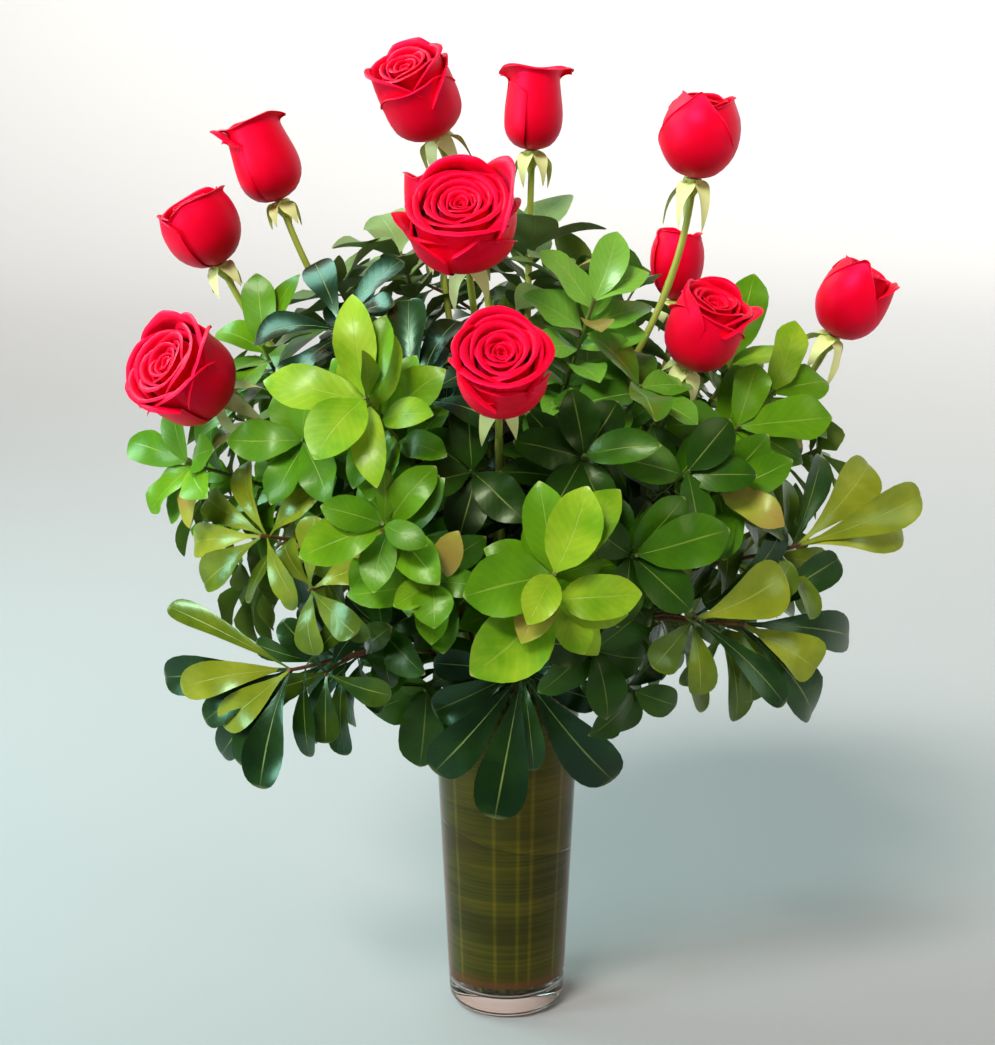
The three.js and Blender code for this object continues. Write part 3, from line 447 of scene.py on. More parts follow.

# %% [markdown]
# ## Petal finish
# A red rose petal is velvety: what little light it mirrors is broad and pink, and its edge catches a pink
# sheen. The red is painted deepest low down on each petal and on the petals of the heart, as shade deep in
# the bloom, is purest near the rim and a touch pinker at the very rim, a painted sheen. Very fine ribs run
# from base to rim.

# %% Petal material
def petal_finish():
    r = Recipe(
        "rose_petal", Roughness=0.48, Specular_IOR_Level=0.5, Specular_Tint=(0.8, 0.1, 0.62, 1),
        Sheen_Weight=0.25, Sheen_Roughness=0.35, Sheen_Tint=(1.0, 0.08, 0.4, 1),
    )
    u, v = r.uv()
    clouds = r.noise(55, 4)
    height_share = r.plus(v, r.times(r.calc("SUBTRACT", clouds, 0.5), 0.35))
    # Darker low down on each petal: painted shade deep in the cup. A touch pinker at the very rim: a
    # painted sheen.
    red = r.ramp(height_share, [(0.0, (0.5, 0.0, 0.003)), (0.4, (0.85, 0.0, 0.012)),
                                (0.85, (1.0, 0.0, 0.02)), (1.0, (1.0, 0.002, 0.035))])
    tone = r.attribute("tone")
    # Petals nearer the heart have a lower tone and are blended towards a dark red: painted shade in the
    # heart.
    r.colour(r.blend(r.times(r.calc("SUBTRACT", 1.0, tone), 0.5), red, (0.65, 0.0, 0.008)))
    lines = r.node("ShaderNodeCombineXYZ", X=r.times(u, 60.0), Y=r.times(v, 3.0))
    ribs = r.noise(1.0, 2, lines.outputs["Vector"])
    r.relief(r.plus(ribs, r.times(clouds, 0.6)), 0.0004, 0.25)
    return r.made


rose_petal = petal_finish()
print("petal finish:", rose_petal.name)

# %% [markdown]
# ## Stalk finishes
# Rose stems are smooth yellow-green. The sepals, five small leaves under each bloom, are paler still.
# Twigs are brown-green, and the bark of the long-leaved branches is red-brown.

# %% Stalk materials
def stalk_finish(name, stops, roughness, spread=0.5):
    r = Recipe(name, Roughness=roughness, Specular_IOR_Level=0.4)
    tone = r.attribute("tone")
    patches = r.noise(30, 4)
    fine = r.noise(1.0, 3, r.place((260, 260, 60)))
    mixed = r.plus(tone, r.times(r.calc("SUBTRACT", patches, 0.5), spread))
    r.colour(r.ramp(mixed, stops))
    r.relief(r.plus(fine, patches), 0.0004, 0.4)
    return r.made


rose_stalk = stalk_finish(
    "rose_stalk", [(0.0, (0.1, 0.15, 0.012)), (0.5, (0.3, 0.36, 0.04)), (1.0, (0.54, 0.58, 0.11))], 0.42)
sepal_finish = stalk_finish(
    "sepal", [(0.0, (0.2, 0.32, 0.06)), (0.5, (0.5, 0.58, 0.16)), (1.0, (0.8, 0.82, 0.36))], 0.55, 0.7)
green_twig = stalk_finish(
    "green_twig", [(0.0, (0.03, 0.05, 0.012)), (0.5, (0.12, 0.15, 0.03)), (1.0, (0.26, 0.26, 0.07))], 0.6)
brown_twig = stalk_finish(
    "brown_twig", [(0.0, (0.06, 0.018, 0.008)), (0.5, (0.2, 0.075, 0.03)), (1.0, (0.34, 0.2, 0.08))], 0.65)
print("stalk finishes:", rose_stalk.name, sepal_finish.name, green_twig.name, brown_twig.name)

# %% [markdown]
# ## Sizes of the vase and the stems
# These are the same sizes as in the solids, in millimetres. The vase is a tall tapered cylinder, and the
# lining leaves and the water are fitted to its inside.

# %% Sizes
VASE_HEIGHT = 250
RIM_RADIUS = 53
FOOT_RADIUS = 41.8
FOOT_CORNER = 10
WALL = 4
FLOOR_THICKNESS = 14
WATER_LEVEL = 205
LINER_THICKNESS = 1.2
GAP = 0.3
ROSE_STEM_RADIUS = 2.6
TWIG_RADIUS = 2.0
SHOOT_RADIUS = 1.5
HIP_LENGTH = 12
print("vase:", VASE_HEIGHT, "mm tall,", 2 * RIM_RADIUS, "mm across the rim")

# %% [markdown]
# ## Where everything grows
# Each row of this table is a rose: the base of its bloom, the way it faces, its height and its greatest
# radius.

# %% Roses
ROSES = [
    [-49, 0, 627, -0.35, -0.45, 0.82, 60, 29],
    [18, 80, 611, 0.03, -0.05, 1, 58, 21],
    [127, 10, 596, 0.12, -0.08, 1, 59, 28],
    [-159, 50, 578, -0.34, 0, 0.94, 60, 23],
    [-198, 20, 537, -0.42, -0.1, 0.9, 52, 27],
    [-190, -70, 459, -0.62, -0.55, 0.55, 55, 34],
    [-26, -92, 553, -0.08, -0.62, 0.78, 52, 38],
    [-5, -168, 478, 0.02, -0.74, 0.67, 50, 31],
    [122, 90, 503, 0.05, 0, 1, 52, 20],
    [119, -60, 479, 0.32, -0.35, 0.88, 55, 27],
    [227, 20, 487, 0.44, -0.08, 0.9, 55, 26],
    [-47, 60, 546, -0.1, 0.05, 1, 54, 24],
]
print("roses:", len(ROSES))

# %% [markdown]
# The greenery is written as plain text, because there is so much of it. A spray is a kind of leaf and its
# clusters: the first cluster ends the main stem, the others end side shoots. A cluster is its hub, the way
# it faces, and its leaves. A leaf is its distance back along the twig, its turn clockwise from the top, its
# opening from the twig, its length, its width and sometimes a roll about its own length. The leaves that
# show in front are set one by one; the rest stand in even rings.

# %% Table of the greenery
GREENERY = """
holly
@ 28 -200 372 0 -0.95 0.3: 0 21 78 58 34, 5 38 84 66 30, 5 -9 84 58 29, 2 -104 80 58 40, 0 -152 62 38 24
@ 29 -186 352 0.1 -0.95 0.1: 0 -132 80 70 45, 0 84 78 54 30, 4 102 86 48 24, 5 150 82 40 24

holly
@ -88 -165 475 -0.2 -0.85 0.5: 0 -8 74 66 26, 4 13 78 54 24, 8 -77 84 70 30, 0 -148 76 52 37,
  0 8 40 34 14 60, 10 172 82 56 22

holly
@ -77 -185 400 -0.1 -0.92 0.35: 0 -75 76 40 22, 0 -10 70 44 20 50, 3 -111 82 56 29, 0 117 78 32 18,
  8 41 80 48 24
@ -47 -175 360 -0.1 -0.92 0.2: 0 -98 80 54 22, 0 -122 62 30 18, 0 176 70 30 26, 4 30 70 38 20,
  3 96 80 34 18

pittosporum
@ 10 -85 274 0 -0.98 0.1: 0 -139 84 90 31, 0 -169 80 99 36, 0 141 84 97 37, 3 173 70 66 18,
  4 -116 86 66 26, 4 112 86 58 24, 6 -84 84 60 22, 6 78 84 56 22

pittosporum
@ -142 -130 290 -0.3 -0.88 0.25: 0 -64 84 92 18 40, 0 -92 86 91 27, 3 -98 70 74 24, 0 -127 74 58 25,
  2 -134 88 80 25, 4 -118 80 70 22, 0 -166 84 79 28, 3 -150 88 72 25
@ -120 -110 281 -0.1 -0.95 0.1: ring 5 80 46 20 180

pittosporum
@ 154 -125 319 0.5 -0.8 0.2: 0 117 78 60 30, 3 92 80 94 28, 5 127 88 95 31, 5 58 84 89 24, 0 30 60 50 20,
  6 165 86 52 24
@ 121 -140 327 0.4 -0.88 0.2: 0 67 76 64 37, 3 139 86 82 20, 6 49 88 98 18, 4 -135 80 46 25,
  6 170 84 50 22

pittosporum
@ 193 -90 364 0.55 -0.7 0.4: 0 47 80 86 31, 0 77 80 94 29, 4 92 76 82 27, 6 137 82 54 22, 5 20 80 66 24,
  8 -60 80 50 22

holly
@ 153 -70 440 0.35 -0.7 0.6: 0 85 80 68 32, 4 100 86 56 24, 6 -92 84 52 30, 0 20 70 46 26, 8 150 84 48 26
@ 140 -110 405 0.3 -0.85 0.4: 0 -20 70 40 24, 2 75 80 50 24, 5 128 84 54 26, 5 -88 82 46 26,
  8 178 84 46 26

holly
@ 80 -165 375 0.3 -0.9 0.2: 0 73 80 64 34, 4 40 84 50 28, 4 130 84 52 28, 6 -60 84 46 26, 8 -170 84 46 26
@ 115 -130 422 0.3 -0.85 0.5: 0 40 72 44 28, 0 160 78 50 30, 5 -80 84 48 28, 6 100 84 48 26

holly
@ 55 -100 527 0.2 -0.6 0.8: 0 22 62 52 24, 0 62 76 44 22, 6 -40 70 50 26, 22 70 80 50 24, 26 -60 78 46 26,
  44 55 82 54 24, 48 -70 80 44 26, 62 110 84 40 24

pittosporum
@ -58 -110 468 -0.2 -0.6 0.8: 0 -8 66 66 26, 0 20 70 60 24, 3 -50 80 62 24, 3 60 82 60 24,
  6 -100 86 60 24, 6 110 86 56 22
@ -110 -60 505 -0.3 -0.5 0.8: 0 -30 70 62 24, 0 40 72 60 26, 3 -90 82 66 24, 3 95 82 56 22,
  6 -150 80 60 24, 6 150 82 54 22

holly
@ -166 -20 486 -0.3 -0.3 0.9: 0 -8 40 52 26, 0 30 52 56 24, 5 -70 70 48 26, 5 95 72 46 26,
  10 180 74 46 26, 12 -130 78 46 26
@ -133 -100 436 -0.35 -0.8 0.45: ring 6 80 52 27 30

holly
@ 158 10 475 0.3 -0.2 0.9: 0 25 34 62 30, 0 -20 52 50 28, 6 100 68 52 28, 8 -80 74 48 26, 12 170 76 50 28,
  18 60 78 50 26
@ 181 -30 457 0.5 -0.5 0.7: 0 20 50 52 28, 2 80 74 50 28, 5 -60 80 46 26, 7 140 80 50 26

holly
@ -215 -60 413 -0.75 -0.55 0.35: 0 -72 74 60 24, 0 10 66 46 26, 3 70 74 48 28, 4 130 78 44 26,
  4 -130 80 48 24, 8 175 84 44 24
@ -186 -55 452 -0.6 -0.5 0.6: ring 6 76 44 24 60

pittosporum
@ -163 -90 370 -0.6 -0.75 0.25: 0 -90 80 62 24, 0 -122 78 56 25, 3 -60 84 60 22, 4 -20 80 54 22,
  4 150 80 50 20, 6 60 84 50 20
@ -129 -120 341 -0.4 -0.88 0.25: ring 6 82 48 22 250

holly
@ 57 -120 300 0.35 -0.92 -0.1: ring 6 80 50 27 40
@ 86 -90 262 0.6 -0.75 -0.2: ring 6 84 44 24 100

holly
@ -56 -66 256 -0.3 -0.9 -0.25: 0 -165 80 60 34, 2 -110 84 50 27, 3 160 78 44 24, 5 -60 84 46 26,
  7 60 84 40 24
@ -84 -90 305 -0.5 -0.82 0: ring 6 80 46 25 10

holly
@ 48 -140 434 0.15 -0.85 0.5: 0 92 82 58 26, 3 50 84 46 28, 4 -80 84 46 28, 5 -150 84 48 26,
  6 150 84 48 26, 0 -15 66 44 26
@ -24 -120 420 -0.1 -0.9 0.4: ring 6 80 50 28 15

holly
@ 86 -90 470 0.3 -0.5 0.8: ring 6 74 50 28 70
@ 94 60 520 0.2 0.1 0.95: ring 6 64 54 28 20

holly
@ -76 70 540 -0.3 0.1 0.95: 0 -60 58 60 36, 0 80 60 60 34, 4 20 66 54 32, 5 190 60 56 34,
  10 -120 76 54 32, 14 130 78 54 30
@ -118 30 520 -0.4 0 0.9: ring 6 66 52 30 30

holly
@ 17 85 545 0.1 0.1 1: 0 60 44 58 34, 0 -50 50 56 34, 4 120 64 58 36, 5 200 58 54 34, 10 -110 72 54 32,
  12 20 70 54 32
@ 40 20 530 0.2 -0.1 1: ring 6 66 50 28 0

pittosporum
@ -60 130 510 -0.2 0.6 0.8: ring 6 74 66 25 10
@ -130 110 480 -0.5 0.5 0.7: ring 6 76 60 24 40

holly
@ 62 135 505 0.3 0.6 0.75: ring 6 72 54 30 10
@ 150 110 462 0.6 0.5 0.6: ring 6 76 52 28 50

holly
@ 0 190 455 0 0.85 0.5: ring 6 78 56 30 0
@ -70 185 420 -0.3 0.9 0.35: ring 6 80 52 28 25

pittosporum
@ 85 185 410 0.4 0.85 0.35: ring 6 78 68 25 15
@ 170 140 390 0.75 0.6 0.3: ring 6 80 62 24 70

holly
@ -150 150 395 -0.7 0.65 0.3: ring 6 78 54 29 35
@ -205 85 420 -0.9 0.3 0.35: ring 6 78 50 28 10

holly
@ 10 215 360 0.05 1 0.1: ring 6 80 56 30 20
@ 110 190 325 0.5 0.85 0: ring 6 80 52 28 40

pittosporum
@ -95 190 325 -0.45 0.88 0: ring 6 78 68 25 5
@ -175 120 315 -0.8 0.55 0: ring 6 82 60 24 60

holly
@ -214 18 376 -0.97 0.08 0.2: ring 6 80 50 28 80
@ -190 30 305 -0.95 0.15 -0.05: ring 6 80 50 27 15

holly
@ 222 30 405 0.9 0.1 0.4: ring 6 78 50 28 45
@ 205 70 325 0.9 0.4 0: ring 6 80 52 28 75

pittosporum
@ 10 130 280 0 0.98 -0.1: ring 6 84 74 27 25
@ 100 110 268 0.6 0.75 -0.1: ring 6 84 60 23 60

holly
@ -100 60 275 -0.85 0.45 -0.1: ring 6 82 52 28 20
@ -45 115 272 -0.3 0.9 -0.1: ring 6 84 48 26 45
"""


def ring(count, opening, length, width, turn):
    """An even ring of leaves; every other one sits a little further back, opens more and is shorter."""
    return [[i % 2 * 5, turn + 360 * i / count, opening + 12 * (i % 2), length - 5 * (i % 2), width]
            for i in range(count)]


def read_greenery(text):
    """A blank line ends a spray. Its first word is its kind, and each @ begins a cluster: hub and facing, a
    colon, then its leaves with commas between them, or the word ring and the five numbers of a ring."""
    for block in text.strip().split("\n\n"):
        kind, *clusters = block.split("@")
        made = []
        for cluster in clusters:
            head, rows = cluster.split(":")
            rows = [row.split() for row in rows.split(",")]
            if rows[0][0] == "ring":
                leaves = ring(int(rows[0][1]), *map(float, rows[0][2:]))
            else:
                leaves = [list(map(float, row)) for row in rows]
            made.append((list(map(float, head.split())), leaves))
        yield kind.strip(), made


# %% [markdown]
# ## Finding room for stems and leaves
# The solids were laid out by a simple rule, and the same rule is followed again here, so that every leaf
# finds the place where its solid is. Cut stems crowd together in the mouth of a vase. Here each stem starts
# out towards its own tip, and then they push each other apart until there is room for all.

# %% Places in the mouth of the vase
MOUTH = 236
MOUTH_REACH = 39.5
STEM_SPACING = 10.4
FLAT_STEM = 75
PUSHES = 80


def unit(v):
    """The same direction, one long."""
    v = np.asarray(v, float)
    return v / np.linalg.norm(v)


def vary(n):
    """A value between 0 and 1 that looks random but is always the same for the same n."""
    s = math.sin(n * 12.9898 + 4.1) * 43758.5453
    return s - math.floor(s)


def mouth_places(tips):
    """Each stem stands out towards its tip, further for a flatter stem, then pairs closer than the spacing
    push each other apart, over and over."""
    places = []
    for x, y, z in tips:
        out = math.hypot(x, y)
        reach = MOUTH_REACH * min(1, math.atan2(out, z - MOUTH) / math.radians(FLAT_STEM))
        places.append([x / out * reach, y / out * reach])
    for _ in range(PUSHES):
        for i, a in enumerate(places):
            for b in places[i + 1:]:
                dx, dy = b[0] - a[0], b[1] - a[1]
                apart = math.sqrt(dx * dx + dy * dy) + 1e-6
                if apart < STEM_SPACING:
                    push = 0.5 * (STEM_SPACING - apart) / apart
                    a[0], a[1] = a[0] - push * dx, a[1] - push * dy
                    b[0], b[1] = b[0] + push * dx, b[1] + push * dy
        for p in places:
            out = math.hypot(*p)
            if out > MOUTH_REACH:
                p[0], p[1] = p[0] / out * MOUTH_REACH, p[1] / out * MOUTH_REACH
    return places


# %% [markdown]
# A stem rises straight through the vase and then bends smoothly to its tip. The smooth bend follows four
# handles; for leaves to grow from, it is cut into a few straight steps.

# %% Bends
def bend_at(b, t):
    """A smooth bend through four handles: each handle's weight is a product of t and 1 - t."""
    t = np.asarray(t, float)[..., None]
    s = 1 - t
    return s**3 * b[0] + 3 * s * s * t * b[1] + 3 * s * t * t * b[2] + t**3 * b[3]


def joints_of(bend, steps):
    """Points spaced evenly along a bend."""
    fine = bend_at(bend, np.linspace(0, 1, 101))
    run = np.concatenate([[0], np.cumsum(np.linalg.norm(np.diff(fine, axis=0), axis=1))])
    target = np.linspace(0, run[-1], steps + 1)
    return np.stack([np.interp(target, run, fine[:, k]) for k in range(3)], axis=1)


def along(joints, t):
    """The point at share t of a line of joints."""
    x = np.asarray(t, float) * (len(joints) - 1)
    k = np.minimum(np.floor(x).astype(int), len(joints) - 2)
    share = (x - k)[..., None]
    return joints[k] * (1 - share) + joints[k + 1] * share


def heading_at(joints, t):
    """The direction of a line of joints at share t."""
    k = min(int(t * (len(joints) - 1)), len(joints) - 2)
    return unit(joints[k + 1] - joints[k])


# %% [markdown]
# Room is tested with points, which is quick and good enough: some along each stem, some over each leaf, and
# a ball round each bloom.

# %% Room
class Room:
    """Points that are taken, each with the number of the stem or cluster that took it."""

    FAR = 40.0

    def __init__(self):
        self.points = np.zeros((0, 3))
        self.owners = np.zeros(0, int)

    def take(self, points, owner):
        self.points = np.concatenate([self.points, points])
        self.owners = np.concatenate([self.owners, np.full(len(points), owner)])

    def nearest(self, points, owner):
        """Distance from any of the points to the nearest taken one of another owner."""
        others = self.points[self.owners != owner]
        if not len(others):
            return 1e9
        low, high = points.min(axis=0) - self.FAR, points.max(axis=0) + self.FAR
        others = others[np.all((others > low) & (others < high), axis=1)]
        if not len(others):
            return self.FAR
        return np.sqrt(((points[:, None] - others[None]) ** 2).sum(axis=2).min())


stem_room, leaf_room = Room(), Room()
balls = []
STEM_ROOM = 7
PROBES = np.arange(1, 37) / 36
STEM_ABOVE_RIM, STEM_INSIDE_RIM = 4, 1.5


def clear_of(bend, owner):
    """Least distance from a bend to other stems and blooms, or 0 if it would run into the vase's rim."""
    line = bend_at(bend, PROBES)
    out = np.hypot(line[:, 0], line[:, 1])
    opening = RIM_RADIUS - WALL - ROSE_STEM_RADIUS - STEM_INSIDE_RIM
    if np.any((line[:, 2] < VASE_HEIGHT + STEM_ABOVE_RIM) & (out > opening)):
        return 0
    clear = min(100, stem_room.nearest(line, owner))
    for centre, radius, other in balls:
        if other != owner:
            clear = min(clear, np.linalg.norm(line - centre, axis=1).min() - radius + STEM_ROOM)
    return clear


# %% [markdown]
# A stem tries a few softer, firmer and sideways bends until it passes clear of the others. In each row, the
# first handle is this share of the span ahead, the last this share behind, and both are this share aside.

# %% Routes of the stems
FOOT_DRAW_IN = 0.76
LEAST_RISE = 48
STEM_STEPS = 6
SHOOT_STEPS = 4
TRACE = np.arange(49) / 48
BENDS = [
    [0.45, 0.36, 0], [0.6, 0.3, 0], [0.36, 0.5, 0], [0.45, 0.36, 0.12], [0.45, 0.36, -0.12],
    [0.6, 0.45, 0.22], [0.6, 0.45, -0.22], [0.4, 0.2, 0.34], [0.4, 0.2, -0.34],
]


def route(start, rise, tip, facing, owner, least, best=None):
    """Tries the bends in turn until one passes clear, or else returns the clearest."""
    span = np.linalg.norm(tip - start)
    sideways = unit(np.cross(rise, tip - start) + [0.01, 0, 0])
    for soon, late, aside in BENDS:
        if best and best[1] > STEM_ROOM:
            return best
        bow = sideways * aside * span
        first = start + rise * max(soon * span, least) + bow
        last = tip - facing * late * span + bow
        bend = np.array([start, first, last, tip])
        clear = clear_of(bend, owner)
        if not best or clear > best[1]:
            best = (bend, clear)
    return best


def stem_line(place, tip, facing, owner):
    """Straight from the vase floor to the mouth, then one bend to the tip."""
    x, y = place
    foot = np.array([x * FOOT_DRAW_IN, y * FOOT_DRAW_IN, FLOOR_THICKNESS + GAP])
    mouth = np.array([x, y, MOUTH])
    rise = unit(mouth - foot)
    bend, _ = route(mouth - 3 * rise, rise, tip, facing, owner, LEAST_RISE)
    joints = joints_of(bend, STEM_STEPS)
    stem_room.take(along(joints, TRACE), owner)
    return dict(foot=foot, mouth=mouth, bend=bend, joints=joints)


def shoot_line(main, hub, facing, owner):
    """A side shoot leaves the main stem at the place that gives the clearest bend."""
    best = None
    for start in (0.45, 0.56, 0.34, 0.68, 0.24):
        best = route(along(main, start), heading_at(main, start), hub, facing, owner, 0, best)
    joints = joints_of(best[0], SHOOT_STEPS)
    stem_room.take(along(joints, TRACE), owner)
    return dict(bend=best[0], joints=joints)


# %% [markdown]
# A leaf leans, turns aside or stays smaller until it is clear of its neighbours, and if nothing helps it
# doesn't grow. Each row is one try: leaning back and turning aside, in degrees, and a share of its size.

# %% Room for a leaf
BUD = 2.5
LEAF_CLEARANCE = 7.5
STEM_CLEARANCE = 7.5
LEAF_ABOVE_RIM, LEAF_OUTSIDE_RIM = 3, 4
TRIES = [[0, 0, 1], [10, 8, 1], [-12, -8, 1], [0, 18, 0.95], [0, -18, 0.95], [-26, 0, 0.9], [20, 10, 0.85]]


def leaf_at(facing, row, base, kind, lean=0, turn=0, size=1):
    """Turn is measured clockwise from the upward side of the cluster, opening from the way it faces. The
    upper side is the facing direction less its part along the leaf, then rolled about the leaf."""
    _, clock, opening, length, width, roll = (*row, 0)[:6]
    level = np.array([0, 0.35, 0.94])
    up = unit(level - facing * np.dot(level, facing))
    right = np.cross(up, facing)
    angle = math.radians(clock + turn)
    opening = math.radians(min(100, opening + lean))
    side = up * math.cos(angle) + right * math.sin(angle)
    direction = facing * math.cos(opening) + side * math.sin(opening)
    flat = unit(facing - direction * np.dot(facing, direction))
    across = np.cross(direction, flat)
    upper = flat * math.cos(math.radians(roll)) + across * math.sin(math.radians(roll))
    length, width = length * size, width * size
    return dict(base=base, direction=direction, upper=upper, length=length, width=width, kind=kind)


def spots_at(shares):
    """Three points across a leaf at each of these shares of its length, and its tip."""
    return np.array([[t, s] for t in shares for s in (-0.4, 0, 0.4)] + [[1, 0]])


SPOTS = spots_at((0.35, 0.6, 0.85))


def leaf_spots(leaf, spots=SPOTS):
    """Points over a leaf that stand for it when room is tested."""
    across = np.cross(leaf["direction"], leaf["upper"])
    ahead = leaf["direction"] * (spots[:, :1] * leaf["length"])
    return leaf["base"] + ahead + across * (spots[:, 1:] * leaf["width"])


def fits(points, cluster, spray, room, leaf_gap, stem_gap):
    """Whether a leaf with these points is clear of the vase, the blooms, the stems and other leaves."""
    out = points[:, 0] ** 2 + points[:, 1] ** 2
    if np.any((points[:, 2] < VASE_HEIGHT + LEAF_ABOVE_RIM) & (out < (RIM_RADIUS + LEAF_OUTSIDE_RIM) ** 2)):
        return False
    for centre, radius, _ in balls:
        if np.any(np.linalg.norm(points - centre, axis=1) < radius):
            return False
    return stem_room.nearest(points, spray) >= stem_gap and room.nearest(points, cluster) >= leaf_gap


def grow(spray, cluster, facing, row, base, room=leaf_room, spots=SPOTS, own_tone=None,
         leaf_gap=LEAF_CLEARANCE, stem_gap=STEM_CLEARANCE):
    """Adds the first try of a leaf that has room; one that finds none does not grow."""
    for lean, turn, size in TRIES:
        leaf = leaf_at(facing, row, base, spray["kind"], lean, turn, size)
        points = leaf_spots(leaf, spots)
        if fits(points, cluster, spray["id"], room, leaf_gap, stem_gap):
            room.take(points, cluster)
            spray["leaves"].append(dict(leaf, own_tone=own_tone, cluster=cluster))
            return


# %% [markdown]
# Order matters now. The blooms take their room first, then come the rose stems, the main stem of each spray
# and its side shoots, and only then the leaves, spray by spray.

# %% The whole layout
BALL_SPARE = 5
roses = []
for *base, fx, fy, fz, height, radius in ROSES:
    facing, base = unit([fx, fy, fz]), np.array(base, float)
    roses.append(dict(base=base, facing=facing, height=height, radius=radius, hip=base - GAP * facing))
sprays = []
for number, (kind, clusters) in enumerate(read_greenery(GREENERY)):
    made = [dict(id=10 * number + n, hub=np.array(head[:3]), facing=unit(head[3:]), rows=rows)
            for n, (head, rows) in enumerate(clusters)]
    sprays.append(dict(id=number, kind=kind, leaves=[], clusters=made))

tips = [r["hip"] - HIP_LENGTH * r["facing"] for r in roses] + [s["clusters"][0]["hub"] for s in sprays]
mouths = mouth_places(tips)
for i, r in enumerate(roses):
    centre = r["base"] + 0.5 * r["height"] * r["facing"]
    balls.append((centre, max(0.55 * r["height"], r["radius"]) + BALL_SPARE, -1 - i))
for i, r in enumerate(roses):
    r["line"] = stem_line(mouths[i], tips[i], r["facing"], -1 - i)
for i, s in enumerate(sprays, len(roses)):
    s["line"] = stem_line(mouths[i], tips[i], s["clusters"][0]["facing"], s["id"])
for s in sprays:
    main = s["line"]["joints"]
    s["shoots"] = [shoot_line(main, c["hub"], c["facing"], s["id"]) for c in s["clusters"][1:]]

# The long-leaved branches carry dark shiny leaves and a few young or upturned pale ones. The tones of these
# leaves, by spray, cluster and leaf.
OWN_TONES = {
    (4, 0, 0): 0.62, (4, 0, 1): 0.12, (4, 0, 2): 0.86, (4, 0, 3): 0.84, (4, 0, 4): 0.1, (4, 0, 5): 0.15,
    (4, 0, 6): 0.1, (4, 0, 7): 0.14, (5, 0, 0): 0.84, (5, 0, 1): 0.18, (5, 0, 2): 0.24, (5, 0, 3): 0.2,
    (5, 1, 0): 0.84, (5, 1, 1): 0.12, (5, 1, 2): 0.15, (6, 0, 0): 0.86, (6, 0, 1): 0.8, (6, 0, 2): 0.95,
    (6, 0, 3): 0.92, (6, 0, 4): 0.3, (6, 0, 5): 0.5,
}


def run_of(joints):
    """Length of a line of evenly spaced joints."""
    return np.linalg.norm(joints[1] - joints[0]) * (len(joints) - 1)


for s in sprays:
    for n, c in enumerate(s["clusters"]):
        joints = (s["shoots"][n - 1] if n else s["line"])["joints"]
        for number, row in enumerate(c["rows"]):
            base = along(joints, 1 - (row[0] + BUD) / run_of(joints))
            grow(s, c["id"], c["facing"], row, base, own_tone=OWN_TONES.get((s["id"], n, number)))
placed_leaves = sum(len(s["leaves"]) for s in sprays)
print("leaves with solids:", placed_leaves)

# %% [markdown]
# ## Leaves along the twigs
# On a cut branch leaves also grow all the way along the twig, not just at its end. They fill the dark
# inside of the bouquet. They are added after the outer leaves, a pair every centimetre or so, each pair
# turned on from the last by the golden angle, and they need a little less room.

# %% Filling in
GOLDEN = 137.5
FILL_SIZE = {"holly": (26, 50), "pittosporum": (21, 62)}
FILL_START = 20
FILL_STEP = 8
FILL_END = 0.86
FILL_ABOVE_RIM = 12
FILL_LEAF_GAP = 4.4
FILL_STEM_GAP = 3.6
FINE = spots_at((0.2, 0.35, 0.5, 0.65, 0.8, 0.92))
fine_room = Room()
for s in sprays:
    for leaf in s["leaves"]:
        fine_room.take(leaf_spots(leaf, FINE), leaf["cluster"])


def fill_twig(spray, joints, number):
    """Pairs of leaves back along a twig, down to the mouth of the vase, of varied size and turn."""
    run = run_of(joints)
    wide, long = FILL_SIZE[spray["kind"]]
    for n, back in enumerate(np.arange(FILL_START, run * FILL_END, FILL_STEP)):
        share = 1 - back / run
        base = along(joints, share)
        if base[2] < VASE_HEIGHT + FILL_ABOVE_RIM:
            break
        facing = heading_at(joints, share)
        for half in (0, 180):
            seed = spray["id"] * 31 + n * 7 + half + number * 3.3
            size = 0.75 + 0.35 * vary(seed)
            turn, opening = GOLDEN * n + half + 40 * vary(seed + 1), 58 + 24 * vary(seed + 2)
            row = [0, turn, opening, long * size, wide * size]
            owner = 5000 + spray["id"] * 200 + n * 2 + (half > 0) + 100 * number
            grow(spray, owner, facing, row, base, room=fine_room, spots=FINE,
                 leaf_gap=FILL_LEAF_GAP, stem_gap=FILL_STEM_GAP)


for s in sprays:
    for number, twig in enumerate([s["line"], *s["shoots"]]):
        fill_twig(s, twig["joints"], number)
print("leaves in all:", sum(len(s["leaves"]) for s in sprays))

# %% [markdown]
# ## Leaf surfaces
# A leaf is a function of t, its way along from stalk to tip, and s, its way across from edge to edge. Its
# half width follows an outline; across it the blade is a shallow trough that rises with s squared, the edge
# swings up and down in a slow wave, and along it the whole blade arches and its tip bends back. Each leaf
# gets its own small amounts of these, so no two look cast from one mould. There are hundreds, so each has
# only thirteen rows of three points on its front, and the smooth shading rounds them.

